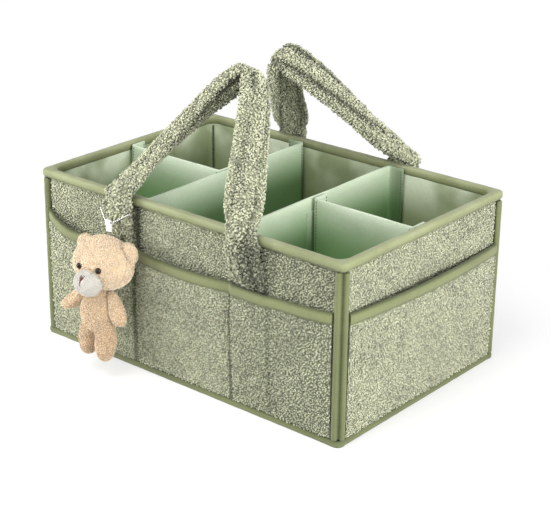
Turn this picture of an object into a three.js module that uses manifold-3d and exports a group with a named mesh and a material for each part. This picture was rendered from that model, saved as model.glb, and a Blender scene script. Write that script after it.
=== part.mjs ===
// A fabric diaper caddy: an open box with stiff boards sewn into its fleece walls,
// bound edges, outside pockets, two padded carrying straps, four lift-out dividers
// and a small stuffed bear hung on one strap by a ball chain.
// Millimetres, +Z up, origin at the middle of the base, front = -Y, right end = +X.

import * as THREE from 'three';
import Module from 'manifold-3d';
import { mergeVertices } from 'three/addons/utils/BufferGeometryUtils.js';

const wasm = await Module();
wasm.setup();

// Overall size over the bindings.
const LENGTH = 380;
const WIDTH = 254;
const HEIGHT = 178;
const CORNER_RADIUS = 12;
const RIM_INNER_RADIUS = 11;

// Gap between pieces that lie against each other.
const TOUCH = 0.3;

// Wall layers from the outside in.
const TRIM_STAND = 3.5;
const FLEECE_THICK = 1.75;
const BOARD_THICK = 2;
const LINING_THICK = 0.5;
const BASE_CLOTH_THICK = 1;
const BASE_BOARD_THICK = 2;

// Bindings.
const RIM_DEPTH = 9;
const RIM_FOLD = 1.7;
const RIM_INNER_THICK = 0.7;
const BASE_TRIM_HEIGHT = 6.5;
const CORNER_TAPE_WIDTH = 8;
const CORNER_TAPE_THICK = 1.4;

// Pockets.
const POCKET_THICK = 2.2;
const POCKET_TOP = 125;
const POCKET_LEFT_RISE = 12;
const POCKET_RIGHT_RISE = 3;
const POCKET_RISE_RUN = 45;
const SIDE_POCKET_TOP = 126;
const SIDE_POCKET_FALL = 4;
const POCKET_GAPE = 7.4;
const SIDE_POCKET_GAPE = 7.4;
const POCKET_TAPE_HEIGHT = 8;
const POCKET_TAPE_THICK = 0.8;
const SEAM_MARGIN = 4;

// Carrying straps.
const STRAP_WIDTH = 39;
const STRAP_THICK = 13;
const STRAP_TUCK_THICK = 3.4;
const STRAP_TUCK_DEPTH = 30;
const STRAP_SWELL_RUN = 14;
const STRAP_FULL_BELOW_RIM = 8.7;
const STRAP_ROOT_WIDTH = 36;
const FRONT_ROOT_LEFT_WIDTH = 32;
const FRONT_TUCK_LEFT_X = -84;
const FRONT_TUCK_RIGHT_X = 86;
const FRONT_FOLD_LEFT_X = -73.5;
const FRONT_FOLD_RIGHT_X = 80;
const FRONT_CROWN_X = 13;
const BACK_TUCK_LEFT_X = -86;
const BACK_TUCK_RIGHT_X = 71;
const BACK_FOLD_LEFT_X = -80;
const BACK_FOLD_RIGHT_X = 65;
const BACK_CROWN_X = -14;
const STRAP_FOLD_ABOVE_RIM = 3;
const SEAT_GAP = 0.4;
const SEAT_LIP = 5;
const STRAP_HANG_ANGLE = 110;
const STRAP_RISE = 145;
const FRONT_STRAP_LEAN = 38;
const BACK_STRAP_LEAN = 41;
const STRAP_CROWN_WIDTH = 32;
const STRAP_CROWN_THICK = 17;
const STRAP_TWIST_START = 0.7;
const STRAP_LEG_SLOPE = 0.42;
const STRAP_CROWN = 14;
const STRAP_GROOVE_INSET = 8;
const STRAP_GROOVE_DEPTH = 1.8;

// Dividers.
const DIVIDER_THICK = 2.4;
const DIVIDER_FLAP = 19;
const DIVIDER_FOLD_RADIUS = 4;
const DIVIDER_BELOW_RIM = 2;
const LEFT_CROSS_X = -52;
const RIGHT_CROSS_X = 60;
const HALF_DIVIDER_Y = -10;
const FASTENER_THICK = 1.1;
const FASTENER_WIDTH = 14;
const FASTENER_END_GAP = 14;
const LOOP_STRIP_WIDTH = 32;

// Hanging bear and its chain.
const BEAR_HEIGHT = 127;
const BEAR_ROLL = 2;
const BEAR_PITCH = 6;
const HANG_ASIDE = 1.5;
const HANG_BEHIND = 6;
const HEAD_WIDTH = 66;
const HEAD_DEPTH = 46;
const HEAD_HEIGHT = 55;
const BODY_WIDTH = 40;
const BODY_DEPTH = 34;
const HEAD_TILT = 3;
const HEAD_TURN = 6;
const HEAD_ON_BODY = 6;
const HEAD_CHEEK_FULLNESS = 0.16;
const BODY_ABOVE_FEET = 28;
const HIP_ABOVE_FEET = 44;
const FOOT_SPREAD = 1.2;
const SHOULDER_INSET = 7;
const SHOULDER_DROP = 5;
const RIGHT_HAND_OUT = 15;
const RIGHT_HAND_FORWARD = 8;
const RIGHT_HAND_DROP = 33;
const LEFT_HAND_OUT = 8;
const LEFT_HAND_FORWARD = -1;
const LEFT_HAND_DROP = 37;
const LEG_WIDTH = 21;
const ARM_WIDTH = 17.5;
const EYE_SIZE = 5.4;
const EYE_SPACING = 23;
const EYE_BELOW_MIDDLE = 3;
const EAR_SIZE = 19;
const EAR_THICK = 10;
const EAR_TURN = 35;
const EAR_INSET = 4;
const EAR_BACK = 4;
const EAR_ABOVE_MIDDLE = 12;
const MUZZLE_WIDTH = 29;
const MUZZLE_DEPTH = 24;
const MUZZLE_HEIGHT = 25;
const MUZZLE_BELOW_MIDDLE = 17;
const MUZZLE_SINK = 1;
const NOSE_WIDTH = 6.4;
const NOSE_HEIGHT = 5.2;
const NOSE_DEPTH = 4;
const NOSE_BELOW_MIDDLE = 11.5;
const RIBBON_WIDTH = 6.5;
const RIBBON_LENGTH = 9.5;
const RIBBON_THICK = 0.8;
const BEAD_SIZE = 1.8;
const BEAD_PITCH = 2.2;
const CHAIN_WIRE = 0.6;
const CHAIN_BELOW_RIM = 3.7;
const CHAIN_EASE = 0.8;
const CHAIN_DROP = 10;
const CHAIN_X = -74.5;
const CHAIN_OUT = 6.5;

// Places that follow from the sizes above.
const halfLength = LENGTH / 2;
const halfWidth = WIDTH / 2;
const boardInset = TRIM_STAND + FLEECE_THICK;
const liningInset = boardInset + BOARD_THICK;
const roomInset = liningInset + LINING_THICK;
const floorTop = BASE_CLOTH_THICK + BASE_BOARD_THICK + LINING_THICK;
const wallTop = HEIGHT - RIM_FOLD - TOUCH;
const rimBottom = HEIGHT - RIM_DEPTH;
const rimInnerInset = roomInset + TOUCH / 2 + RIM_INNER_THICK;
const wallFace = halfWidth - TRIM_STAND;
const foldHeight = HEIGHT + STRAP_FOLD_ABOVE_RIM;
const foldReach = halfWidth + TOUCH + STRAP_THICK / 2;
const deg = THREE.MathUtils.degToRad;

const fleece = { color: 0xa7ae8d, roughness: 1, metalness: 0 };
const tape = { color: 0x959d74, roughness: 0.8, metalness: 0 };
const lining = { color: 0xb4c4ae, roughness: 0.75, metalness: 0 };
const mint = { color: 0xa3c9a6, roughness: 0.7, metalness: 0 };
const board = { color: 0xd9d6cc, roughness: 0.9, metalness: 0 };
const fastener = { color: 0x9fc2a0, roughness: 0.95, metalness: 0 };
const plush = { color: 0xeccba4, roughness: 1, metalness: 0 };
const muzzleCloth = { color: 0xdad8d6, roughness: 1, metalness: 0 };
const thread = { color: 0x5e4334, roughness: 0.7, metalness: 0 };
const beadEye = { color: 0x1c1817, roughness: 0.2, metalness: 0 };
const satin = { color: 0xf4f4f1, roughness: 0.5, metalness: 0 };
const steel = { color: 0xc3c5c4, roughness: 0.25, metalness: 1 };

const caddy = new THREE.Group();

function addPiece(name, geometry, finish, parent = caddy) {
  geometry.computeVertexNormals();
  const mesh = new THREE.Mesh(geometry, new THREE.MeshStandardMaterial(finish));
  mesh.name = name;
  parent.add(mesh);
  return mesh;
}

// Triangles for a flat ring of points, seen along its own normal.
function fillRing(ring) {
  const normal = new THREE.Vector3();
  ring.forEach((point, i) => normal.add(point.clone().cross(ring[(i + 1) % ring.length])));
  normal.normalize();
  const side = ring[1].clone().sub(ring[0]).normalize();
  const up = normal.clone().cross(side);
  const flat = ring.map((point) => new THREE.Vector2(point.dot(side), point.dot(up)));
  return THREE.ShapeUtils.triangulateShape(flat, []);
}

// A closed skin through rings of points. With closed, the last ring joins the first.
function skin(rings, closed = false) {
  const sides = rings[0].length;
  const points = rings.flat();
  const faces = [];
  const spans = closed ? rings.length : rings.length - 1;
  for (let i = 0; i < spans; i++) {
    const here = i * sides;
    const next = ((i + 1) % rings.length) * sides;
    for (let j = 0; j < sides; j++) {
      const k = (j + 1) % sides;
      faces.push(here + j, here + k, next + k);
      faces.push(here + j, next + k, next + j);
    }
  }
  if (!closed) {
    const last = (rings.length - 1) * sides;
    fillRing(rings[0]).forEach(([a, b, c]) => faces.push(c, b, a));
    fillRing(rings[rings.length - 1]).forEach(([a, b, c]) => faces.push(last + a, last + b, last + c));
  }
  return outward(points, faces);
}

// An indexed geometry whose faces point out of the body.
function outward(points, faces) {
  let volume = 0;
  for (let i = 0; i < faces.length; i += 3) {
    const [a, b, c] = [points[faces[i]], points[faces[i + 1]], points[faces[i + 2]]];
    volume += a.dot(b.clone().cross(c));
  }
  const order = volume < 0 ? faces.reverse() : faces;
  const geometry = new THREE.BufferGeometry().setFromPoints(points);
  geometry.setIndex(order);
  return geometry;
}

function toSolid(geometry) {
  const bare = geometry.clone();
  bare.deleteAttribute('normal');
  bare.deleteAttribute('uv');
  const merged = mergeVertices(bare, 1e-4);
  return new wasm.Manifold(new wasm.Mesh({
    numProp: 3,
    vertProperties: new Float32Array(merged.attributes.position.array),
    triVerts: new Uint32Array(merged.index.array),
  }));
}

function fromSolid(solid) {
  const mesh = solid.getMesh();
  const geometry = new THREE.BufferGeometry();
  geometry.setAttribute('position', new THREE.BufferAttribute(mesh.vertProperties, 3));
  geometry.setIndex(new THREE.BufferAttribute(mesh.triVerts, 1));
  return geometry;
}

// The first geometry with the others cut out of it.
function cut(geometry, ...tools) {
  return fromSolid(tools.reduce((solid, tool) => solid.subtract(toSolid(tool)), toSolid(geometry)));
}

function extrude(shape, low, high, curveSegments = 3) {
  const geometry = new THREE.ExtrudeGeometry(shape, { depth: high - low, bevelEnabled: false, curveSegments });
  return geometry.translate(0, 0, low);
}

// The four walls: each is modelled as the front wall and turned to its place.
const frontStrap = {
  lean: FRONT_STRAP_LEAN,
  tuckX: [FRONT_TUCK_LEFT_X, FRONT_TUCK_RIGHT_X],
  foldX: [FRONT_FOLD_LEFT_X, FRONT_FOLD_RIGHT_X],
  rootWidth: [FRONT_ROOT_LEFT_WIDTH, STRAP_ROOT_WIDTH],
  crownX: FRONT_CROWN_X,
};
const backStrap = {
  lean: BACK_STRAP_LEAN,
  tuckX: [-BACK_TUCK_RIGHT_X, -BACK_TUCK_LEFT_X],
  foldX: [-BACK_FOLD_RIGHT_X, -BACK_FOLD_LEFT_X],
  rootWidth: [STRAP_ROOT_WIDTH, STRAP_ROOT_WIDTH],
  crownX: -BACK_CROWN_X,
};
const walls = [
  { name: 'front', turn: 0, half: halfLength, reach: halfWidth, strap: frontStrap },
  { name: 'right', turn: 90, half: halfWidth, reach: halfLength },
  { name: 'back', turn: 180, half: halfLength, reach: halfWidth, strap: backStrap },
  { name: 'left', turn: -90, half: halfWidth, reach: halfLength },
];

// Point on the caddy's rounded outline, this far inside its outer face.
// s runs along a front wall from its middle and on round the corner.
function onWall(wall, s, inset, z) {
  const straight = wall.half - CORNER_RADIUS;
  const past = Math.max(Math.abs(s) - straight, 0) / CORNER_RADIUS;
  const radius = CORNER_RADIUS - inset;
  const x = Math.min(Math.abs(s), straight) + radius * Math.sin(past);
  const y = -(wall.reach - CORNER_RADIUS) - radius * Math.cos(past);
  return new THREE.Vector3(Math.sign(s) * x, y, z);
}

// Corner radius of a layer at this inset: the fleece and the lining turn their corners
// about different centres, and the rim binding over both bridges the two.
function cornerRadius(inset) {
  const outer = CORNER_RADIUS - inset;
  const inner = RIM_INNER_RADIUS + rimInnerInset - inset;
  const share = THREE.MathUtils.clamp((inset - boardInset) / BOARD_THICK, 0, 1);
  return THREE.MathUtils.lerp(outer, inner, share);
}

// A ring of points round the whole caddy at one inset and height.
function aroundCaddy(inset, z, steps = 5) {
  const ring = [];
  const radius = cornerRadius(inset);
  for (let corner = 0; corner < 4; corner++) {
    const centreX = (corner === 0 || corner === 3 ? 1 : -1) * (halfLength - inset - radius);
    const centreY = (corner < 2 ? 1 : -1) * (halfWidth - inset - radius);
    for (let i = 0; i <= steps; i++) {
      const angle = deg(90 * (corner + i / steps));
      ring.push(new THREE.Vector3(centreX + radius * Math.cos(angle), centreY + radius * Math.sin(angle), z));
    }
  }
  return ring;
}

// A band round the whole caddy from a section of [inset, height] points.
function bandAround(section) {
  const rails = section.map(([inset, z]) => aroundCaddy(inset, z));
  const rings = rails[0].map((_, i) => rails.map((rail) => rail[i]));
  return skin(rings, true);
}

function roundedPlate(width, height, radius) {
  const [x, y] = [width / 2, height / 2];
  const shape = new THREE.Shape();
  shape.absarc(x - radius, y - radius, radius, 0, Math.PI / 2);
  shape.absarc(radius - x, y - radius, radius, Math.PI / 2, Math.PI);
  shape.absarc(radius - x, radius - y, radius, Math.PI, 1.5 * Math.PI);
  shape.absarc(x - radius, radius - y, radius, 1.5 * Math.PI, 2 * Math.PI);
  return shape;
}

// Stiff boards: one in each wall, clear of the rounded corners, and one in the base.
function addBoards() {
  const roundness = 6;
  const low = BASE_CLOTH_THICK;
  const high = wallTop - 1;
  for (const wall of walls) {
    const plate = roundedPlate(2 * (wall.half - CORNER_RADIUS), high - low, roundness);
    const geometry = extrude(plate, 0, BOARD_THICK, 2);
    geometry.rotateX(Math.PI / 2);
    geometry.translate(0, -(wall.reach - boardInset - BOARD_THICK), (low + high) / 2);
    addPiece(`${wall.name}_board`, geometry.rotateZ(deg(wall.turn)), board);
  }
  const base = roundedPlate(LENGTH - 2 * liningInset, WIDTH - 2 * liningInset, cornerRadius(liningInset));
  addPiece('base_board', extrude(base, low, low + BASE_BOARD_THICK, 2), board);
}

// Fleece on each wall, round the corners as far as the middle of each corner seam.
function addFleece() {
  for (const wall of walls) {
    const centreX = wall.half - CORNER_RADIUS;
    const centreY = -(wall.reach - CORNER_RADIUS);
    const outer = CORNER_RADIUS - TRIM_STAND;
    const inner = outer - FLEECE_THICK;
    const stop = Math.PI / 4 - TOUCH / inner;
    const down = -Math.PI / 2;
    const shape = new THREE.Shape();
    shape.absarc(-centreX, centreY, outer, down - stop, down);
    shape.absarc(centreX, centreY, outer, down, down + stop);
    shape.absarc(centreX, centreY, inner, down + stop, down, true);
    shape.absarc(-centreX, centreY, inner, down, down - stop, true);
    const geometry = extrude(shape, BASE_CLOTH_THICK, wallTop, 2);
    addPiece(`${wall.name}_fleece`, geometry.rotateZ(deg(wall.turn)), fleece);
  }
}

function addBaseCloth() {
  const bottom = aroundCaddy(TRIM_STAND, 0);
  const top = aroundCaddy(TRIM_STAND, BASE_CLOTH_THICK);
  addPiece('base_cloth', skin([bottom, top]), fleece);
}

// The lining is one open bag inside the boards.
function addLining() {
  const under = BASE_CLOTH_THICK + BASE_BOARD_THICK;
  addPiece('lining_bag', skin([
    aroundCaddy(liningInset, under),
    aroundCaddy(liningInset, wallTop),
    aroundCaddy(roomInset, wallTop),
    aroundCaddy(roomInset, floorTop),
  ]), lining);
}

// Rim binding: a soft tape folded over the top edge of all the wall layers.
function addRimBinding() {
  const outerLeg = TRIM_STAND - TOUCH;
  const innerLeg = rimInnerInset - RIM_INNER_THICK;
  addPiece('rim_binding', bandAround([
    [outerLeg, rimBottom],
    [0.5, rimBottom],
    [0, rimBottom + 1.5],
    [0, HEIGHT - 3.4],
    [1.1, HEIGHT - 1],
    [3, HEIGHT],
    [rimInnerInset - 2.6, HEIGHT],
    [rimInnerInset - 0.8, HEIGHT - 0.8],
    [rimInnerInset, HEIGHT - 2.6],
    [rimInnerInset, rimBottom],
    [innerLeg, rimBottom],
    [innerLeg, HEIGHT - RIM_FOLD],
    [outerLeg, HEIGHT - RIM_FOLD],
  ]), tape);
}

function addBaseBinding() {
  const inner = TRIM_STAND - TOUCH;
  addPiece('base_binding', bandAround([
    [inner, 0],
    [0.7, 0],
    [0, 1.2],
    [0, BASE_TRIM_HEIGHT - 1.4],
    [0.8, BASE_TRIM_HEIGHT],
    [inner, BASE_TRIM_HEIGHT],
  ]), tape);
}

// Angle that one corner tape takes of the corner's quarter turn.
const tapeTurn = CORNER_TAPE_WIDTH / CORNER_RADIUS;

// Each corner seam is covered by a tape with two rounded beads side by side.
function addCornerBindings() {
  const inner = CORNER_RADIUS - TRIM_STAND + TOUCH;
  const valley = inner + CORNER_TAPE_THICK;
  const beadRise = CORNER_RADIUS - valley;
  const beadSteps = 5;
  const corners = [
    ['front_left', -1, -1], ['front_right', 1, -1], ['back_right', 1, 1], ['back_left', -1, 1],
  ];
  for (const [name, sideX, sideY] of corners) {
    const middle = Math.atan2(sideY, sideX);
    const at = (radius, turn) => new THREE.Vector2(
      sideX * (halfLength - CORNER_RADIUS) + radius * Math.cos(middle + turn),
      sideY * (halfWidth - CORNER_RADIUS) + radius * Math.sin(middle + turn),
    );
    const outline = [];
    for (let i = 0; i <= 2 * beadSteps; i++) {
      const across = (i % beadSteps) / beadSteps;
      outline.push(at(valley + beadRise * Math.sin(Math.PI * across), tapeTurn * (i / beadSteps - 1)));
    }
    for (let i = 4; i >= 0; i--) outline.push(at(inner, tapeTurn * (i / 2 - 1)));
    const low = BASE_TRIM_HEIGHT + TOUCH;
    const high = rimBottom - TOUCH;
    addPiece(`${name}_corner_binding`, extrude(new THREE.Shape(outline), low, high), tape);
  }
}

// Pockets
// A pocket's end is sewn in beside the corner tape.
function pocketEnd(wall) {
  const cornerRun = CORNER_RADIUS * (Math.PI / 4 - tapeTurn) - TOUCH;
  return wall.half - CORNER_RADIUS + cornerRun;
}

// Room a strap's flat end needs behind the pocket and its tape.
const strapRoom = STRAP_TUCK_THICK + TOUCH;
const strapBayHalf = STRAP_WIDTH / 2 + SEAM_MARGIN;

// Stretches of a pocket between its vertical seams, each with its own gape.
function pocketBays(wall, gape) {
  const end = pocketEnd(wall);
  if (!wall.strap) return [{ from: -end, to: end, gape, steps: 12 }];
  const [left, right] = wall.strap.tuckX;
  const strapBay = (x) => ({
    from: x - strapBayHalf,
    to: x + strapBayHalf,
    gape: strapRoom,
    flat: true,
    steps: 4,
  });
  return [
    { from: -end, to: left - strapBayHalf, gape, steps: 6 },
    strapBay(left),
    { from: left + strapBayHalf, to: right - strapBayHalf, gape, steps: 8 },
    strapBay(right),
    { from: right + strapBayHalf, to: end, gape, steps: 6 },
  ];
}

// Places along the pocket where its mesh has a column, with the gape of each.
// A bay that holds a strap end is flat between its seam margins; the others swell.
function pocketColumns(wall, gape) {
  const ramp = SEAM_MARGIN - 1;
  const straight = wall.half - CORNER_RADIUS;
  const columns = [];
  for (const bay of pocketBays(wall, gape)) {
    const width = bay.to - bay.from;
    const places = [];
    for (let i = 0; i <= bay.steps; i++) places.push(bay.from + width * i / bay.steps);
    if (bay.flat) places.push(bay.from + ramp, bay.to - ramp);
    for (const side of [-1, 1]) {
      const bends = [side * straight, side * (straight + pocketEnd(wall)) / 2];
      places.push(...bends.filter((s) => s > bay.from && s < bay.to));
    }
    places.sort((a, b) => a - b);
    for (const s of places.slice(columns.length ? 1 : 0)) {
      const fromSeam = Math.min(s - bay.from, bay.to - s);
      const swell = bay.flat
        ? Math.min(fromSeam / ramp, 1)
        : Math.max(Math.sin(Math.PI * (s - bay.from) / width), 0) ** 0.8;
      columns.push({ s, gape: bay.gape * swell });
    }
  }
  return columns;
}

// Height of a pocket's top edge: it climbs a little towards its sewn ends.
function pocketTop(wall, s) {
  const end = pocketEnd(wall);
  if (!wall.strap) return SIDE_POCKET_TOP - SIDE_POCKET_FALL * s / (2 * end);
  const left = Math.max(0, 1 - (s + end) / POCKET_RISE_RUN);
  const right = Math.max(0, 1 - (end - s) / POCKET_RISE_RUN);
  return POCKET_TOP + POCKET_LEFT_RISE * left ** 1.5 + POCKET_RIGHT_RISE * right ** 2;
}

// How far the pocket's inner face lies inside the caddy's outer face.
function pocketInset(wall, column, z) {
  const low = BASE_TRIM_HEIGHT + TOUCH;
  const share = THREE.MathUtils.clamp((z - low) / (pocketTop(wall, column.s) - low), 0, 1);
  const rise = Math.sin(share * Math.PI / 2) ** 0.9;
  const behindTape = POCKET_TAPE_THICK + TOUCH;
  return TRIM_STAND - TOUCH - rise * (behindTape + column.gape);
}

function addPocket(wall, gape) {
  const low = BASE_TRIM_HEIGHT + TOUCH;
  const rows = [0, 0.25, 0.5, 0.72, 0.9, 1];
  const columns = pocketColumns(wall, gape);
  const panel = columns.map((column) => {
    const high = pocketTop(wall, column.s);
    const face = (out) => rows.map((share) => {
      const z = low + (high - low) * share;
      return onWall(wall, column.s, pocketInset(wall, column, z) - out, z);
    });
    return [...face(0), ...face(POCKET_THICK).reverse()];
  });
  addPiece(`${wall.name}_pocket`, skin(panel).rotateZ(deg(wall.turn)), fleece);

  // Tape folded over the pocket's top edge: [outward from the inner face, above the top].
  const drop = -POCKET_TAPE_HEIGHT;
  const back = -TOUCH;
  const front = POCKET_THICK + TOUCH;
  const fold = [
    [front, drop],
    [front + POCKET_TAPE_THICK, drop],
    [front + POCKET_TAPE_THICK, -1],
    [front, TOUCH + POCKET_TAPE_THICK],
    [back, TOUCH + POCKET_TAPE_THICK],
    [back - POCKET_TAPE_THICK, -0.5],
    [back - POCKET_TAPE_THICK, drop],
    [back, drop],
    [back, TOUCH],
    [front, TOUCH],
  ];
  const band = columns.map((column) => fold.map(([out, above]) => {
    const z = pocketTop(wall, column.s) + above;
    return onWall(wall, column.s, pocketInset(wall, column, z) - out, z);
  }));
  addPiece(`${wall.name}_pocket_binding`, skin(band).rotateZ(deg(wall.turn)), tape);
}

// Straps
// Half of a strap's section, [across, out] from its middle: rolled edge, stitched groove, pad.
function strapSection() {
  const half = STRAP_WIDTH / 2;
  const out = STRAP_THICK / 2;
  const groove = half - STRAP_GROOVE_INSET;
  const quarter = [
    [half - 1.6, 0.64 * out],
    [half - 5, 0.92 * out],
    [groove, out - STRAP_GROOVE_DEPTH],
    [groove / 2, out],
  ];
  const upper = [...quarter, ...quarter.map(([w, f]) => [-w, f]).reverse()];
  return [[half, 0], ...upper, [-half, 0], ...upper.map(([w, f]) => [w, -f]).reverse()];
}

function strapRing(middle, across, out, thick, width = STRAP_WIDTH) {
  const share = thick / STRAP_THICK;
  return strapSection().map(([w, f]) => middle.clone()
    .addScaledVector(across, w * width / STRAP_WIDTH)
    .addScaledVector(out, f * share));
}

// The strap end is flat where it is tucked behind the pocket, and fills out above it.
const tuckTop = POCKET_TOP + TOUCH + POCKET_TAPE_THICK + 1;
const strapEndTop = foldHeight - SEAT_LIP;

// Middle and width of a strap's sewn end at a height: it slants and narrows from pocket to rim.
function strapEndAt(wall, leg, height) {
  const slide = THREE.MathUtils.clamp((height - tuckTop) / (strapEndTop - tuckTop), 0, 1);
  return {
    x: THREE.MathUtils.lerp(wall.strap.tuckX[leg], wall.strap.foldX[leg], slide),
    width: THREE.MathUtils.lerp(STRAP_WIDTH, wall.strap.rootWidth[leg], slide),
  };
}

function addStrapEnd(name, wall, leg) {
  const stops = [
    [POCKET_TOP - STRAP_TUCK_DEPTH, TOUCH, STRAP_TUCK_THICK],
    [tuckTop, TOUCH, STRAP_TUCK_THICK],
    [tuckTop + 0.36 * STRAP_SWELL_RUN, TOUCH, 0.6 * STRAP_THICK],
    [tuckTop + STRAP_SWELL_RUN, TOUCH, 0.95 * STRAP_THICK],
    [rimBottom - STRAP_FULL_BELOW_RIM, TRIM_STAND + TOUCH, STRAP_THICK],
    [strapEndTop, TRIM_STAND + TOUCH, STRAP_THICK],
  ];
  const rings = stops.map(([z, gap, thick]) => {
    const { x, width } = strapEndAt(wall, leg, z);
    const middle = new THREE.Vector3(x, -(wallFace + gap + thick / 2), z);
    return strapRing(middle, new THREE.Vector3(1, 0, 0), new THREE.Vector3(0, -1, 0), thick, width);
  });
  addPiece(name, cut(skin(rings), ...foldSeat()).rotateZ(deg(wall.turn)), fleece);
}

// Room for a strap to turn about its fold line and to hang down outside the wall.
function foldSeat() {
  const radius = STRAP_THICK / 2 + SEAT_GAP;
  const long = LENGTH;
  const round = new THREE.CylinderGeometry(radius, radius, long, 28).rotateZ(Math.PI / 2);
  const sweep = new THREE.BoxGeometry(long, 2 * STRAP_THICK, 2 * radius).translate(0, -STRAP_THICK, 0);
  sweep.rotateX(deg(STRAP_HANG_ANGLE - 90));
  return [round, sweep].map((tool) => tool.translate(0, -foldReach, foldHeight));
}

// The free arch of a strap, from fold to fold. It leans in over the caddy, and the strap
// turns a quarter about its own length, so that at the crown its width lies across the arch.
function addStrapArch(name, wall) {
  const { foldX, crownX, rootWidth } = wall.strap;
  const lean = deg(wall.strap.lean);
  const inward = new THREE.Vector3(0, Math.sin(lean), Math.cos(lean));
  const faceOut = new THREE.Vector3(0, -Math.cos(lean), Math.sin(lean));
  const start = new THREE.Vector3(0, -foldReach, foldHeight);
  const at = (x, rise) => start.clone().add(new THREE.Vector3(x, 0, 0)).addScaledVector(inward, rise);
  const bend = STRAP_RISE / 2;
  const arch = new THREE.CurvePath();
  arch.add(new THREE.CubicBezierCurve3(
    at(foldX[0], 0),
    at(foldX[0] + STRAP_LEG_SLOPE * bend, bend),
    at(crownX - STRAP_CROWN, STRAP_RISE),
    at(crownX, STRAP_RISE),
  ));
  arch.add(new THREE.CubicBezierCurve3(
    at(crownX, STRAP_RISE),
    at(crownX + STRAP_CROWN, STRAP_RISE),
    at(foldX[1] - STRAP_LEG_SLOPE * bend, bend),
    at(foldX[1], 0),
  ));
  const leftAcross = new THREE.Vector3(-1, 0, 0);
  const rightAcross = new THREE.Vector3(1, 0, 0);
  const roundEnd = (leg, across) => [0.95, 0.72, 0.38].map((share) => {
    const middle = at(foldX[leg], -share * STRAP_THICK / 2);
    const thick = STRAP_THICK * Math.sqrt(1 - share ** 2);
    return strapRing(middle, across, faceOut, thick, rootWidth[leg]);
  });
  const steps = 30;
  const rings = roundEnd(0, leftAcross);
  for (let i = 0; i <= steps; i++) {
    const u = i / steps;
    const tangent = arch.getTangentAt(u);
    const toCrown = 1 - Math.abs(2 * u - 1);
    const twist = toCrown ** STRAP_TWIST_START * Math.PI / 2;
    const square = new THREE.Vector3().crossVectors(faceOut, tangent).normalize();
    const level = u < 0.5 ? leftAcross : rightAcross;
    const edge = level.clone().lerp(square, THREE.MathUtils.smoothstep(toCrown, 0, 0.25)).normalize();
    const across = edge.clone().multiplyScalar(Math.cos(twist)).addScaledVector(faceOut, -Math.sin(twist));
    const out = faceOut.clone().multiplyScalar(Math.cos(twist)).addScaledVector(edge, Math.sin(twist));
    const gather = THREE.MathUtils.smoothstep(toCrown, 0.05, 0.6);
    const width = THREE.MathUtils.lerp(rootWidth[u < 0.5 ? 0 : 1], STRAP_CROWN_WIDTH, gather);
    const thick = THREE.MathUtils.lerp(STRAP_THICK, STRAP_CROWN_THICK, gather);
    rings.push(strapRing(arch.getPointAt(u), across, out, thick, width));
  }
  rings.push(...roundEnd(1, rightAcross).reverse());
  addPiece(name, skin(rings).rotateZ(deg(wall.turn)), fleece);
}

// Dividers
const dividerTop = HEIGHT - DIVIDER_BELOW_RIM;
const dividerBottom = floorTop + TOUCH;
const fastenerReach = rimInnerInset + TOUCH;
const flapInset = fastenerReach + FASTENER_THICK;

// A panel with a flap folded square at each end, seen from above.
// It runs from 0 to span along X, and its flaps point along +Y.
function channelShape(span) {
  const thick = DIVIDER_THICK;
  const bend = DIVIDER_FOLD_RADIUS;
  const shape = new THREE.Shape();
  shape.moveTo(0, DIVIDER_FLAP);
  shape.lineTo(0, bend);
  shape.absarc(bend, bend, bend, Math.PI, 1.5 * Math.PI);
  shape.absarc(span - bend, bend, bend, 1.5 * Math.PI, 2 * Math.PI);
  shape.lineTo(span, DIVIDER_FLAP);
  shape.lineTo(span - thick, DIVIDER_FLAP);
  shape.absarc(span - bend, bend, bend - thick, 2 * Math.PI, 1.5 * Math.PI, true);
  shape.absarc(bend, bend, bend - thick, 1.5 * Math.PI, Math.PI, true);
  shape.lineTo(thick, DIVIDER_FLAP);
  return shape;
}

// Fastener strips lie on the outer face of each flap.
function fastenerStrip(x) {
  const strip = roundedPlate(FASTENER_THICK, FASTENER_WIDTH, FASTENER_THICK / 4);
  const geometry = extrude(strip, dividerBottom + FASTENER_END_GAP, rimBottom - FASTENER_END_GAP, 1);
  const alongFlap = (DIVIDER_FOLD_RADIUS + DIVIDER_FLAP) / 2;
  return geometry.translate(x, alongFlap, 0);
}

// place moves a divider drawn along X with its outer face on Y = 0 to where it stands.
function addDivider(name, span, endNames, place) {
  const parts = [
    [`${name}_divider`, extrude(channelShape(span), dividerBottom, dividerTop, 2), mint],
    [`${name}_hook_strip_${endNames[0]}`, fastenerStrip(-FASTENER_THICK / 2), fastener],
    [`${name}_hook_strip_${endNames[1]}`, fastenerStrip(span + FASTENER_THICK / 2), fastener],
  ];
  parts.forEach(([pieceName, geometry, finish]) => addPiece(pieceName, place(geometry), finish));
}

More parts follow.
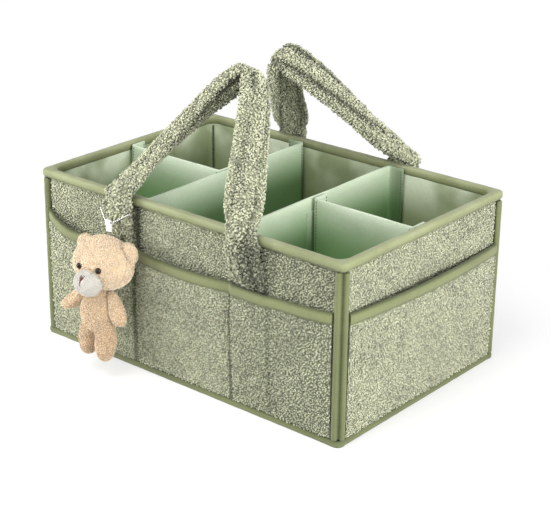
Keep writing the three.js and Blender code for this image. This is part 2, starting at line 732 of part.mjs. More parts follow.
function addDividers() {
  const crossSpan = WIDTH - 2 * flapInset;
  const outerFaceLeft = LEFT_CROSS_X + DIVIDER_THICK / 2;
  const outerFaceRight = RIGHT_CROSS_X - DIVIDER_THICK / 2;
  addDivider('left_cross', crossSpan, ['front', 'back'], (geometry) => geometry
    .rotateZ(Math.PI / 2)
    .translate(outerFaceLeft, -crossSpan / 2, 0));
  addDivider('right_cross', crossSpan, ['back', 'front'], (geometry) => geometry
    .rotateZ(-Math.PI / 2)
    .translate(outerFaceRight, crossSpan / 2, 0));

  const stripTop = dividerTop - FASTENER_END_GAP;
  const loop = roundedPlate(FASTENER_THICK, LOOP_STRIP_WIDTH, FASTENER_THICK / 4);
  const loopStrip = () => extrude(loop, dividerBottom + FASTENER_END_GAP, stripTop, 1);
  const loopMiddle = HALF_DIVIDER_Y - DIVIDER_THICK / 2 + DIVIDER_FLAP / 2;
  const leftLoopX = LEFT_CROSS_X - DIVIDER_THICK / 2 - FASTENER_THICK / 2;
  const rightLoopX = RIGHT_CROSS_X + DIVIDER_THICK / 2 + FASTENER_THICK / 2;
  addPiece('left_cross_loop_strip', loopStrip().translate(leftLoopX, loopMiddle, 0), fastener);
  addPiece('right_cross_loop_strip', loopStrip().translate(rightLoopX, loopMiddle, 0), fastener);

  const outerFaceHalf = HALF_DIVIDER_Y - DIVIDER_THICK / 2;
  const fromLoop = FASTENER_THICK / 2 + TOUCH + FASTENER_THICK;
  const leftStart = -(halfLength - flapInset);
  const leftSpan = leftLoopX - fromLoop - leftStart;
  addDivider('left_half', leftSpan, ['wall', 'cross'], (geometry) => geometry
    .translate(leftStart, outerFaceHalf, 0));
  const rightStart = rightLoopX + fromLoop;
  const rightSpan = halfLength - flapInset - rightStart;
  addDivider('right_half', rightSpan, ['cross', 'wall'], (geometry) => geometry
    .translate(rightStart, outerFaceHalf, 0));
}

// Hanging bear
// A stuffed form: round sections along a line, with the half widths given by a function.
function stuffed(from, to, sides, steps, halves) {
  const along = to.clone().sub(from);
  const rings = [];
  for (let i = 0; i <= steps; i++) {
    const share = (1 - Math.cos(Math.PI * (0.06 + 0.88 * i / steps))) / 2;
    const [halfX, halfY] = halves(share);
    const middle = from.clone().addScaledVector(along, share);
    const ring = [];
    for (let j = 0; j < sides; j++) {
      const angle = 2 * Math.PI * j / sides;
      ring.push(new THREE.Vector3(halfX * Math.cos(angle), halfY * Math.sin(angle), 0).add(middle));
    }
    rings.push(ring);
  }
  return skin(rings);
}

// Half width of a stuffed form along its length: round at both ends, fullest where told.
function swell(share, full, fullness = 0.5) {
  const bent = share ** (Math.log(0.5) / Math.log(full));
  return Math.sin(Math.PI * bent) ** fullness;
}

function ball(width, depth, height, across, down) {
  const geometry = new THREE.SphereGeometry(0.5, across, down);
  return geometry.rotateX(Math.PI / 2).scale(width, depth, height);
}

const neckDrop = HEAD_HEIGHT - HEAD_ON_BODY;

// Heights on the bear are measured down from the top of its head.
const eyeDrop = HEAD_HEIGHT / 2 + EYE_BELOW_MIDDLE;
const muzzleDrop = HEAD_HEIGHT / 2 + MUZZLE_BELOW_MIDDLE;
const noseDrop = HEAD_HEIGHT / 2 + NOSE_BELOW_MIDDLE;
const muzzleMiddle = -HEAD_DEPTH / 2 + MUZZLE_SINK;

// Turns and tips what belongs to the head, about the head's middle.
function tipped(geometry) {
  geometry.translate(0, 0, HEAD_HEIGHT / 2);
  geometry.rotateY(-deg(HEAD_TILT)).rotateZ(deg(HEAD_TURN));
  return geometry.translate(0, 0, -HEAD_HEIGHT / 2);
}

// The head is a little fuller at the cheeks than at the crown.
function headForm(extra = 0) {
  const geometry = ball(HEAD_WIDTH + extra, HEAD_DEPTH + extra, HEAD_HEIGHT + extra, 20, 14);
  const position = geometry.attributes.position;
  for (let i = 0; i < position.count; i++) {
    const low = -position.getZ(i) / HEAD_HEIGHT;
    position.setX(i, position.getX(i) * (1 + HEAD_CHEEK_FULLNESS * low));
  }
  return tipped(geometry.translate(0, 0, -HEAD_HEIGHT / 2));
}

function bodyForm(extra = 0) {
  const from = new THREE.Vector3(0, 0, -neckDrop + extra / 2);
  const to = new THREE.Vector3(0, 0, -(BEAR_HEIGHT - BODY_ABOVE_FEET) - extra / 2);
  return stuffed(from, to, 16, 9, (share) => {
    const width = swell(share, 0.6, 0.42);
    return [(BODY_WIDTH + extra) / 2 * width, (BODY_DEPTH + extra) / 2 * width];
  });
}

function limbForm(from, to, width, full) {
  return stuffed(from, to, 10, 7, (share) => {
    const half = width / 2 * swell(share, full, 0.32);
    return [half, half];
  });
}

function muzzleForm(extra = 0) {
  const muzzle = ball(MUZZLE_WIDTH + extra, MUZZLE_DEPTH + extra, MUZZLE_HEIGHT + extra, 14, 10);
  return tipped(muzzle.translate(0, muzzleMiddle, -muzzleDrop));
}

function addBear(hangFrom) {
  const bear = new THREE.Group();
  bear.position.copy(hangFrom);
  bear.rotation.set(-deg(BEAR_PITCH), deg(BEAR_ROLL), 0);
  caddy.add(bear);
  const toy = new THREE.Group();
  toy.position.set(HANG_ASIDE, -HANG_BEHIND, 0);
  bear.add(toy);

  const gap = 2 * TOUCH;
  const head = headForm(gap);
  const body = bodyForm(gap);
  const muzzle = muzzleForm(gap);
  addPiece('bear_head', headForm(), plush, toy);
  addPiece('bear_body', cut(bodyForm(), head), plush, toy);
  addPiece('bear_muzzle', cut(muzzleForm(), head, body), muzzleCloth, toy);

  const noseLow = (noseDrop - muzzleDrop) / (MUZZLE_HEIGHT / 2);
  const noseFront = muzzleMiddle - MUZZLE_DEPTH / 2 * Math.sqrt(1 - noseLow ** 2);
  const nose = ball(NOSE_WIDTH, NOSE_DEPTH, NOSE_HEIGHT, 8, 6).translate(0, noseFront, -noseDrop);
  addPiece('bear_nose', cut(tipped(nose), muzzle), thread, toy);

  const hands = {
    right: new THREE.Vector3(
      -BODY_WIDTH / 2 - RIGHT_HAND_OUT,
      -RIGHT_HAND_FORWARD,
      -neckDrop - RIGHT_HAND_DROP,
    ),
    left: new THREE.Vector3(BODY_WIDTH / 2 + LEFT_HAND_OUT, -LEFT_HAND_FORWARD, -neckDrop - LEFT_HAND_DROP),
  };
  for (const [side, sign] of [['right', -1], ['left', 1]]) {
    const ear = ball(EAR_SIZE, EAR_THICK, EAR_SIZE, 12, 8).rotateY(sign * deg(EAR_TURN));
    ear.translate(sign * (HEAD_WIDTH / 2 - EAR_INSET), EAR_BACK, -HEAD_HEIGHT / 2 + EAR_ABOVE_MIDDLE);
    addPiece(`bear_${side}_ear`, cut(tipped(ear), head), plush, toy);

    const eyeX = sign * EYE_SPACING / 2;
    const eyeLow = (eyeDrop - HEAD_HEIGHT / 2) / (HEAD_HEIGHT / 2);
    const onHead = Math.sqrt(1 - (2 * eyeX / HEAD_WIDTH) ** 2 - eyeLow ** 2);
    const eye = ball(EYE_SIZE, EYE_SIZE, EYE_SIZE, 8, 6);
    eye.translate(eyeX, -HEAD_DEPTH / 2 * onHead, -eyeDrop);
    addPiece(`bear_${side}_eye`, cut(tipped(eye), head, muzzle), beadEye, toy);

    const shoulder = new THREE.Vector3(sign * (BODY_WIDTH / 2 - SHOULDER_INSET), 0, -neckDrop - SHOULDER_DROP);
    const arm = limbForm(shoulder, hands[side], ARM_WIDTH, 0.6);
    addPiece(`bear_${side}_arm`, cut(arm, body, head), plush, toy);

    const hip = new THREE.Vector3(sign * LEG_WIDTH / 2, 0, -(BEAR_HEIGHT - HIP_ABOVE_FEET));
    const foot = new THREE.Vector3(sign * (LEG_WIDTH / 2 + FOOT_SPREAD), 0, -BEAR_HEIGHT);
    addPiece(`bear_${side}_leg`, cut(limbForm(hip, foot, LEG_WIDTH, 0.55), body), plush, toy);
  }
}

// A ribbon loop sewn to the head, with the chain through its round top.
function addRibbon(chainAt) {
  const hole = BEAD_SIZE / 2 + TOUCH + 0.1;
  const outer = hole + RIBBON_THICK;
  const shape = new THREE.Shape();
  shape.absarc(0, 0, outer, 1.15 * Math.PI, -0.15 * Math.PI, true);
  shape.lineTo(RIBBON_THICK, -outer - 2);
  shape.lineTo(RIBBON_THICK, -RIBBON_LENGTH + TOUCH);
  shape.lineTo(-RIBBON_THICK, -RIBBON_LENGTH + TOUCH);
  shape.lineTo(-RIBBON_THICK, -outer - 2);
  shape.holes.push(new THREE.Path().absarc(0, 0, hole, 0, 2 * Math.PI));
  const geometry = extrude(shape, -RIBBON_WIDTH / 2, RIBBON_WIDTH / 2, 5);
  geometry.rotateX(Math.PI / 2).rotateZ(Math.PI / 2);
  addPiece('ribbon_tab', geometry.translate(chainAt.x, chainAt.y, chainAt.z), satin);
}

// A closed path through corners, each rounded off over the given run.
function roundedLoop(corners, run) {
  const path = new THREE.CurvePath();
  const count = corners.length;
  const toward = (from, to, distance) => (
    from.clone().addScaledVector(to.clone().sub(from).normalize(), distance)
  );
  corners.forEach((corner, i) => {
    const before = corners[(i + count - 1) % count];
    const after = corners[(i + 1) % count];
    path.add(new THREE.QuadraticBezierCurve3(toward(corner, before, run), corner, toward(corner, after, run)));
    path.add(new THREE.LineCurve3(toward(corner, after, run), toward(after, corner, run)));
  });
  return path;
}

// A closed ball chain round the front strap's left leg, just below the rim.
function addBallChain(chainAt) {
  const high = rimBottom - CHAIN_BELOW_RIM;
  const strap = strapEndAt(walls[0], 0, high);
  const clear = BEAD_SIZE / 2 + TOUCH;
  const behind = -(wallFace + clear + 0.2);
  const front = -(wallFace + TRIM_STAND + TOUCH + STRAP_THICK);
  const left = strap.x - strap.width / 2 - clear - CHAIN_EASE;
  const right = strap.x + strap.width / 2 + clear + CHAIN_EASE;
  const straight = RIBBON_WIDTH / 2 + 1;
  const route = roundedLoop([
    new THREE.Vector3(left, behind, high),
    new THREE.Vector3(right, behind, high),
    new THREE.Vector3(right, front + 2, high - 1),
    new THREE.Vector3(chainAt.x + straight, chainAt.y, chainAt.z),
    new THREE.Vector3(chainAt.x - straight, chainAt.y, chainAt.z),
    new THREE.Vector3(left, front + 2, high - 1),
  ], 3);
  const beads = Math.round(route.getLength() / BEAD_PITCH);
  const sides = 6;
  const shape = [[0, CHAIN_WIRE / 2], [0.3, 0.92 * BEAD_SIZE / 2], [0.7, 0.92 * BEAD_SIZE / 2]];
  const rings = [];
  for (let bead = 0; bead < beads; bead++) {
    for (const [share, radius] of shape) {
      const u = (bead + share) / beads;
      const tangent = route.getTangentAt(u);
      const flat = new THREE.Vector3(-tangent.y, tangent.x, 0).normalize();
      const rise = tangent.clone().cross(flat);
      const ring = [];
      for (let j = 0; j < sides; j++) {
        const angle = 2 * Math.PI * j / sides;
        ring.push(route.getPointAt(u)
          .addScaledVector(flat, radius * Math.cos(angle))
          .addScaledVector(rise, radius * Math.sin(angle)));
      }
      rings.push(ring);
    }
  }
  addPiece('ball_chain', skin(rings, true), steel);
}

function addPendant() {
  const chainY = -(wallFace + TRIM_STAND + TOUCH + STRAP_THICK + CHAIN_OUT);
  const chainZ = rimBottom - CHAIN_BELOW_RIM - CHAIN_DROP;
  const chainAt = new THREE.Vector3(CHAIN_X, chainY, chainZ);
  addBallChain(chainAt);
  addRibbon(chainAt);
  addBear(new THREE.Vector3(chainAt.x, chainAt.y, chainAt.z - RIBBON_LENGTH));
}

addBoards();
addFleece();
addBaseCloth();
addLining();
addRimBinding();
addBaseBinding();
addCornerBindings();
for (const wall of walls) {
  addPocket(wall, wall.strap ? POCKET_GAPE : SIDE_POCKET_GAPE);
}
for (const wall of walls.filter(({ strap }) => strap)) {
  const leftLeg = wall.turn === 0 ? 0 : 1;
  addStrapEnd(`${wall.name}_strap_left_end`, wall, leftLeg);
  addStrapEnd(`${wall.name}_strap_right_end`, wall, 1 - leftLeg);
  addStrapArch(`${wall.name}_strap`, wall);
}
addDividers();
addPendant();

export default caddy;
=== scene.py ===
"""A fleece diaper caddy with carrying straps, cloth dividers and a small hanging bear.

The file is laid out as an add-on: each operator makes one piece or one group of like pieces
around the frame of the caddy, in metres, with the caddy's front towards -Y.
"""

import math

import bmesh
import bpy
import numpy as np
from mathutils import Matrix, Vector
from mathutils.bvhtree import BVHTree
from mathutils.kdtree import KDTree


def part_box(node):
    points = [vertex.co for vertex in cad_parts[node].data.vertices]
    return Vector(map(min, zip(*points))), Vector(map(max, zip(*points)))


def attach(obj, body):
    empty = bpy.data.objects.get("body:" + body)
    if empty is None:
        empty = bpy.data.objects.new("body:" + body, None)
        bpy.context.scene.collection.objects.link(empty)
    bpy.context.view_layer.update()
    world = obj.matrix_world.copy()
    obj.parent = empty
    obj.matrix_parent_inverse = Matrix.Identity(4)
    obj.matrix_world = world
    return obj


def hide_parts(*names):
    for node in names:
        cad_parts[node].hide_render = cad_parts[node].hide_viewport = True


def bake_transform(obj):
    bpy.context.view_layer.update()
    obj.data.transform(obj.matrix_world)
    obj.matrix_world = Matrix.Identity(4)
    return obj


bl_info = {
    "name": "Fleece diaper caddy",
    "version": (1, 0, 0),
    "blender": (4, 5, 0),
    "location": "View3D > Sidebar > Caddy",
    "description": "Builds the caddy's fleece, bindings, lining, dividers, straps and bear",
    "category": "Mesh",
}

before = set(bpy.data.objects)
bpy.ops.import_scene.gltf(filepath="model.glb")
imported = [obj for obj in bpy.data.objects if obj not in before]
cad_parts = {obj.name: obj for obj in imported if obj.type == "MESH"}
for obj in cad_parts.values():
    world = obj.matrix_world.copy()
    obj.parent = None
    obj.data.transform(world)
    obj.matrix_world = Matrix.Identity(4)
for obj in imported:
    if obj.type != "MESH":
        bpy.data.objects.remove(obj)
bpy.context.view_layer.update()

# The box over its tapes, and the fineness of its meshes
LENGTH = 0.380
WIDTH = 0.254
HEIGHT = 0.178
CORNER_RADIUS = 0.012
CORNER_STEPS = 10
CLOTH_STEP = 0.008
MERGE = 0.00001
OUTSIDE = 0.03
STITCH_PROBE = 0.05

# Each wall's turn, half its length, and how far out it stands
WALLS = {
    "front": (0, LENGTH / 2, WIDTH / 2),
    "right": (90, WIDTH / 2, LENGTH / 2),
    "back": (180, LENGTH / 2, WIDTH / 2),
    "left": (-90, WIDTH / 2, LENGTH / 2),
}

# Tapes on the rim, the base and the corners
RIM_BOTTOM = 0.169
RIM_DEEP = 0.0086
RIM_INNER_RADIUS = 0.011
BASE_TAPE_TOP = 0.0065
BASE_TAPE_DEEP = 0.0032
TAPE_SIDES = 24
TAPE_SQUARE = 3.4
TAPE_ROW_IN = 0.0012
# How far the painted shade along the rim's and base's tape edges reaches
TAPE_SHADE_RUN = 0.0026
TAPE_FACE_REACH = 0.008
CORNER_TAPE_TURN = 0.008 / 0.012
CORNER_PUSH = 0.003
CORNER_PUSH_FROM = 0.004
CORNER_PUSH_RUN = 0.006
CORNER_SWELL = 0.0007
CORNER_GROOVE = 0.0024
CORNER_GROOVE_TURN = 0.13
# How much painted shade darkens all of a corner tape, and how far it reaches round from the groove and in
# from the edges
CORNER_UNSHADED_MOST = 0.55
CORNER_GROOVE_SHADE_TURN = 0.16
CORNER_EDGE_SHADE_TURN = 0.12
ROW_DIP = 0.0007
ROW_WIDE = 0.0008

# Pockets
POCKET_FRONT_TOP = 0.125
POCKET_LEFT_RISE = 0.012
POCKET_LEFT_RUN = 0.045
POCKET_RIGHT_RISE = 0.004
POCKET_RIGHT_RUN = 0.075
POCKET_SIDE_TOP = 0.126
POCKET_SIDE_FALL = 0.004
POCKET_END_GAP = 0.0003
POCKET_TAPE_DEPTH = 0.010
POCKET_TAPE_ABOVE = 0.0011
POCKET_TAPE_WIDE = 0.0044
POCKET_TAPE_OUT = 0.0008
POCKET_TAPE_SHADE_RUN = 0.0028
POCKET_ROW_UP = 0.0016
POCKET_ROW_DIP = 0.0005

# Seams that part the pockets, and how the cloth is drawn beside them
SEAMS = {
    "front": (-0.1085, -0.0615, 0.0625, 0.1095),
    "back": (-0.0945, -0.0475, 0.0625, 0.1095),
    "left": (),
    "right": (),
}
SEAM_EASE = 0.016
SEAM_EASED = 0.7
TAUT_BAY = 0.0045
TAUT_FROM = 0.085
TAUT_RUN = 0.03
TAUT_STAND = 0.0015

# Curls of pile: how far one turns over, and how its thickness and its painted shade change on the way up,
# with pile held short painted darker
CURL_TURN = (-0.15, 2.3)
CURL_SWELL = (0.75, 1.0, 0.65)
CURL_SHADES = (0.3, 1.0)
CURL_SIZES = (0.7, 1.3)
CURL_THICKS = (0.8, 1.15)
CURL_TONES = (0.55, 1.0)
CURL_HELD_SHADE = 0.6
CURL_LEAST = 0.1
STITCH_GAP = 0.14

# How much painted shade darkens the front's pile towards its right end, from where, and over what run
FRONT_SHADE_DARKER = 0.24
FRONT_SHADE_FROM = 0.04
FRONT_SHADE_RUN = 0.05


def length_property(name, description, default, least, most):
    return bpy.props.FloatProperty(
        name=name, description=description, default=default, min=least, max=most, precision=5, unit="LENGTH")


def colour_property(name, description, *colour):
    return bpy.props.FloatVectorProperty(
        name=name, description=description, default=colour + (1,), size=4, min=0, max=1, subtype="COLOR")


class CaddySizes(bpy.types.PropertyGroup):
    wall_curl: length_property(
        "Wall curl", "Spacing of the curls of the fleece on walls and pockets", 0.0020, 0.001, 0.01)
    wall_pile: length_property(
        "Wall pile height", "How far the curls of the walls stand up", 0.0011, 0.0002, 0.004)
    strap_curl: length_property(
        "Strap curl", "Spacing of the curls of the longer fleece on the straps", 0.0026, 0.001, 0.01)
    strap_pile: length_property(
        "Strap pile height", "How far the curls of the straps stand up", 0.0021, 0.0002, 0.005)
    plush_curl: length_property(
        "Bear curl", "Spacing of the curls of the bear's plush", 0.0017, 0.0005, 0.01)
    plush_pile: length_property(
        "Bear pile height", "How far the bear's plush stands up", 0.0009, 0.0002, 0.003)
    stitch_pitch: length_property(
        "Stitch pitch", "Distance from one sewn stitch to the next", 0.0032, 0.001, 0.01)


class CaddyColours(bpy.types.PropertyGroup):
    fleece_light: colour_property("Fleece tips", "Colour of the curls' tips", 0.72, 0.735, 0.53)
    # Fleece depth is painted shade between the curls, at their roots
    fleece_dark: colour_property("Fleece depth", "Colour between the curls", 0.27, 0.30, 0.18)
    binding: colour_property("Binding", "Colour of the tapes round the edges", 0.185, 0.205, 0.085)
    # The rim top colour is a painted highlight along the top of the rim's tape
    binding_pale: colour_property("Rim top", "Colour of the rim's tape along its top", 0.31, 0.335, 0.185)
    lining: colour_property("Lining", "Colour of the lining bag", 0.29, 0.345, 0.175)
    # The lining shine colour is a painted highlight, in clouds, towards the lining's top
    lining_shine: colour_property("Lining shine", "Colour of the lining's bright folds", 0.74, 0.80, 0.62)
    mint: colour_property("Divider", "Colour of the divider cloth", 0.215, 0.39, 0.16)
    # The divider top colour is painted light towards the tops of the dividers and their hook tapes
    mint_pale: colour_property("Divider top", "Colour of the divider cloth at its top", 0.66, 0.75, 0.58)
    board: colour_property("Board", "Colour of the hidden boards", 0.70, 0.67, 0.60)
    plush_light: colour_property("Bear tips", "Colour of the bear's plush tips", 1.0, 0.865, 0.65)
    # Bear depth is painted shade between the bear's curls, at their roots
    plush_dark: colour_property("Bear depth", "Colour between the bear's curls", 0.64, 0.405, 0.21)
    muzzle: colour_property("Muzzle", "Colour of the bear's muzzle", 0.74, 0.71, 0.65)
    thread: colour_property("Nose thread", "Colour of the stitched nose", 0.13, 0.05, 0.03)
    seam: colour_property("Seam thread", "Colour of the seams in the tapes", 0.16, 0.18, 0.08)
    mint_seam: colour_property("Divider thread", "Colour of the seams in the dividers", 0.055, 0.11, 0.045)
    eye: colour_property("Eye", "Colour of the eyes", 0.012, 0.008, 0.006)
    ribbon: colour_property("Ribbon", "Colour of the ribbon", 0.86, 0.86, 0.84)
    chain: colour_property("Chain", "Colour of the ball chain", 0.62, 0.62, 0.60)
    floor: colour_property("Floor", "Colour of the studio floor", 0.92, 0.92, 0.92)


# Materials
WHITE = (1, 1, 1, 1)
BLACK = (0, 0, 0, 1)
# Painted shade for cloth where it dips into seams, grooves and folded flaps
PAINTED_SEAM_SHADE = (0.40, 0.44, 0.37, 1)


class NodeTree:
    """A node tree, with short ways to add linked nodes to it."""

    def __init__(self, tree):
        self.tree = tree

    def fill(self, node, sockets):
        """Gives each socket its value, or links it to the output that it follows."""
        for key, value in sockets.items():
            if isinstance(value, bpy.types.NodeSocket):
                self.tree.links.new(value, node.inputs[key])
            else:
                node.inputs[key].default_value = value

    def add(self, kind, sockets=None, **settings):
        node = self.tree.nodes.new(f"ShaderNode{kind}")
        for key, value in settings.items():
            setattr(node, key, value)
        self.fill(node, sockets or {})
        return node

    def maths(self, operation, *values):
        return self.add("Math", dict(enumerate(values)), operation=operation).outputs[0]

    def mapped(self, value, start, stop, low=0.0, kind="SMOOTHSTEP"):
        """Rises from a low value, at the start, to 1 at the stop."""
        sockets = {"Value": value, "From Min": start, "From Max": stop, "To Min": low}
        return self.add("MapRange", sockets, interpolation_type=kind).outputs["Result"]

    def seen(self):
        """1 for what is seen straight, in a gloss or through glass, and 0 for light on the object."""
        path = self.add("LightPath").outputs
        unbent = self.maths("MAXIMUM", path["Is Camera Ray"], path["Is Glossy Ray"])
        return self.maths("MAXIMUM", unbent, path["Is Transmission Ray"])


class Finish(NodeTree):
    """A material, with the patterns that its finish needs, all on Object coordinates."""

    def __init__(self, name):
        self.material = bpy.data.materials.new(name)
        self.material.use_nodes = True
        super().__init__(self.material.node_tree)
        self.shader = self.tree.nodes["Principled BSDF"]
        self.place = self.add("TexCoord").outputs["Object"]

    def noise(self, pitch, detail=2.0, rough=0.5):
        sockets = {"Vector": self.place, "Scale": 1 / pitch, "Detail": detail, "Roughness": rough}
        return self.add("TexNoise", sockets).outputs["Fac"]

    def attribute(self, name):
        return self.add("Attribute", attribute_name=name).outputs["Fac"]

    def ramp(self, source, *stops):
        node = self.add("ValToRGB", {"Fac": source})
        elements = node.color_ramp.elements
        while len(elements) < len(stops):
            elements.new(0.5)
        for element, (place, colour) in zip(elements, stops):
            element.position = place
            element.color = colour
        return node.outputs["Color"]

    def dulled(self, source, low, high, share):
        """A layer that dulls by this share where the source is low, and not at all where it is high."""
        return self.ramp(source, (low, between(WHITE, BLACK, share)), (high, WHITE))

    def mixed(self, blend, factor, first, second):
        sockets = {0: factor, 6: first, 7: second}
        return self.add("Mix", sockets, data_type="RGBA", blend_type=blend).outputs[2]

    def layered(self, colour, *layers):
        """The colour, darkened by each layer in turn."""
        for layer in layers:
            colour = self.mixed("MULTIPLY", 1.0, colour, layer)
        return colour

    def bump(self, height, distance, strength, **before):
        sockets = {"Height": height, "Distance": distance, "Strength": strength, **before}
        return self.add("Bump", sockets).outputs["Normal"]

    def weave(self, pitch):
        """The height of a plain over-and-under weave of this pitch."""
        x, y, z = self.add("SeparateXYZ", {0: self.place}).outputs
        waves = [self.maths("SINE", self.maths("MULTIPLY", way, 2 * math.pi / pitch))
                 for way in (self.maths("ADD", x, y), z)]
        return self.maths("MULTIPLY", *waves)


def between(first, second, share):
    return tuple(a + (b - a) * share for a, b in zip(first, second))


def lit(colour, share):
    return tuple(min(1, channel * share) for channel in colour[:3]) + (1,)


def pile_material(name, dark, light, grain, sheen, uneven=1.0):
    """Curly pile: painted shade runs from dark roots to bright tips, for the shade between the curls, with
    broad patches.
    """
    finish = Finish(name)
    curls = finish.ramp(
        finish.attribute("pile"),
        (0.0, between(BLACK, dark, 0.12)),
        (0.12, between(BLACK, dark, 0.65)),
        (0.25, between(dark, light, 0.35)),
        (0.55, between(dark, light, 0.85)),
        (1.0, light))
    fibres = finish.noise(grain, detail=3, rough=0.65)
    fine = finish.dulled(fibres, 0.32, 0.58, 0.28 * uneven)
    tufts = finish.dulled(finish.noise(grain * 4.5), 0.36, 0.56, 0.36 * uneven)
    patches = finish.dulled(finish.noise(0.032), 0.34, 0.66, 0.13 * uneven)
    finish.fill(finish.shader, {
        "Base Color": finish.layered(curls, fine, tufts, patches),
        "Normal": finish.bump(fibres, distance=grain * 0.4, strength=0.7),
        "Roughness": 0.95,
        "Specular IOR Level": 0.2,
        "Sheen Weight": sheen,
        "Sheen Roughness": 0.5,
    })
    return finish.material


def cloth_material(name, colour, pitch=0.0007, roughness=0.62, sheen=0.2, relief=0.0001, mottle=0.12,
                   patch=0.05, painted_light=None, shade_painted_in_seams=False):
    """Woven cloth. The painted light is (bright colour, low height, high height, patchy share), for cloth
    painted brighter towards its top, evenly or in clouds. Cloth with seams gets painted shade where it dips
    into a seam or fold, as its stored share says."""
    finish = Finish(name)
    slub = finish.noise(pitch * 3, detail=3, rough=0.6)
    tone = finish.ramp(finish.noise(patch), (0.3, lit(colour, 1 - mottle)), (0.7, lit(colour, 1 + mottle)))
    if painted_light is not None:
        bright, start, stop, patchy = painted_light
        height = finish.add("SeparateXYZ", {0: finish.place}).outputs[2]
        clouds = finish.dulled(finish.noise(0.045), 0.40, 0.62, patchy)
        share = finish.layered(finish.mapped(height, start, stop), clouds)
        tone = finish.mixed("MIX", share, tone, bright)
    layers = [finish.dulled(slub, 0.25, 0.60, 0.10)]
    if shade_painted_in_seams:
        layers.append(finish.ramp(finish.attribute("open"), (0.0, PAINTED_SEAM_SHADE), (1.0, WHITE)))
    weave = finish.bump(finish.weave(pitch), relief, strength=0.5)
    finish.fill(finish.shader, {
        "Base Color": finish.layered(tone, *layers),
        "Normal": finish.bump(slub, relief, strength=0.4, Normal=weave),
        "Roughness": roughness,
        "Specular IOR Level": 0.3,
        "Sheen Weight": sheen,
    })
    return finish.material


def hard_material(name, colour, roughness, metallic=0.0, coat=0.0, wear=0.1, specular=0.5):
    """A hard finish with faint handling marks."""
    finish = Finish(name)
    marks = finish.noise(0.002, detail=3)
    finish.fill(finish.shader, {
        "Base Color": finish.ramp(marks, (0.35, lit(colour, 1 - wear)), (0.65, colour)),
        "Roughness": roughness,
        "Metallic": metallic,
        "Coat Weight": coat,
        "Specular IOR Level": specular,
    })
    return finish.material


materials = {}


def make_materials(sizes, colours):
    tone = {name: tuple(getattr(colours, name)) for name in CaddyColours.__annotations__}
    light, dark, mint, muzzle = (tone[name] for name in ("fleece_light", "fleece_dark", "mint", "muzzle"))
    # Painted highlight along the top of the rim's tape
    rim_painted_highlight = (tone["binding_pale"], RIM_BOTTOM + 0.0005, HEIGHT + 0.0005, 0.5)
    materials.update(
        fleece=pile_material("wall_fleece", dark, light, grain=sizes.wall_curl / 2, sheen=0.25),
        strap=pile_material(
            "strap_fleece", between(dark, light, 0.36), lit(light, 1.12), grain=sizes.strap_curl / 2,
            sheen=0.25),
        plush=pile_material(
            "bear_plush", tone["plush_dark"], tone["plush_light"], grain=sizes.plush_curl / 2, sheen=0.35,
            uneven=0.5),
        muzzle=pile_material(
            "muzzle_plush", between(BLACK, muzzle, 0.80), muzzle, grain=0.0008, sheen=0.3, uneven=0.25),
        binding=cloth_material("binding_tape", tone["binding"], painted_light=rim_painted_highlight, shade_painted_in_seams=True),
        base=cloth_material("base_cloth", tone["binding"]),
        # Painted highlight in clouds towards the lining's top
        lining=cloth_material(
            "lining_satin", tone["lining"], pitch=0.0006, roughness=0.5, sheen=0.15, relief=0.00008,
            mottle=0.10, patch=0.06, painted_light=(tone["lining_shine"], 0.115, 0.168, 0.85)),
        # Painted light towards the tops of the dividers and their hook tapes, and painted shade in the
        # dividers' seams and flaps
        mint=cloth_material(
            "divider_cloth", mint, pitch=0.0006, roughness=0.5, sheen=0.1, relief=0.00008,
            mottle=0.05, patch=0.08, painted_light=(tone["mint_pale"], 0.126, 0.182, 0.15), shade_painted_in_seams=True),
        hooks=cloth_material(
            "hook_tape", mint, pitch=0.0014, roughness=0.9, sheen=0.1, relief=0.0003,
            mottle=0.08, patch=0.01, painted_light=(tone["mint_pale"], 0.120, 0.180, 0.15)),
        thread=cloth_material("nose_thread", tone["thread"], pitch=0.0005, roughness=0.7, relief=0.0002),
        seam=cloth_material("seam_thread", tone["seam"], pitch=0.0004, roughness=0.7),
        mint_seam=cloth_material("divider_thread", tone["mint_seam"], pitch=0.0004, roughness=0.7),
        ribbon=cloth_material(
            "ribbon_satin", tone["ribbon"], pitch=0.0005, roughness=0.4, sheen=0.3, relief=0.00008),
        board=hard_material("foam_board", tone["board"], roughness=0.9),
        eye=hard_material("bead_eye", tone["eye"], roughness=0.14, coat=0.1, wear=0.3, specular=0.2),
        chain=hard_material("chain_steel", tone["chain"], roughness=0.22, metallic=1.0, wear=0.15),
    )


# Modelling helpers
def share_of(value, start, run):
    """0 up to the start, 1 past the run after it, and a straight rise between."""
    share = (value - start) / run
    return np.clip(share, 0, 1) if isinstance(share, np.ndarray) else min(1, max(0, share))


def bell(away, wide):
    """1 in the middle, and next to nothing at twice this width away from it."""
    return np.exp(-(away / wide) ** 2)


def unit(vectors):
    return vectors / np.maximum(np.linalg.norm(vectors, axis=-1, keepdims=True), 1e-12)


def spots_of(piece):
    return np.array([tuple(vertex.co) for vertex in piece.data.vertices])


def centre(node):
    return sum(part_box(node), Vector()) / 2


def only(*pieces):
    """Selects these pieces alone; the first is the active one."""
    bpy.ops.object.select_all(action="DESELECT")
    for piece in pieces:
        piece.select_set(True)
    bpy.context.view_layer.objects.active = pieces[0]


def applied(piece, kind, **settings):
    """Adds a modifier with these settings and applies it."""
    only(piece)
    modifier = piece.modifiers.new(kind.lower(), kind)
    for key, value in settings.items():
        setattr(modifier, key, value)
    bpy.ops.object.modifier_apply(modifier=modifier.name)


def edited(piece, *steps):
    """Runs edit operators on the whole of a piece, each given with its settings."""
    only(piece)
    bpy.ops.object.mode_set(mode="EDIT")
    for operator, settings in steps:
        bpy.ops.mesh.select_all(action="SELECT")
        operator(**settings)
    bpy.ops.object.mode_set(mode="OBJECT")


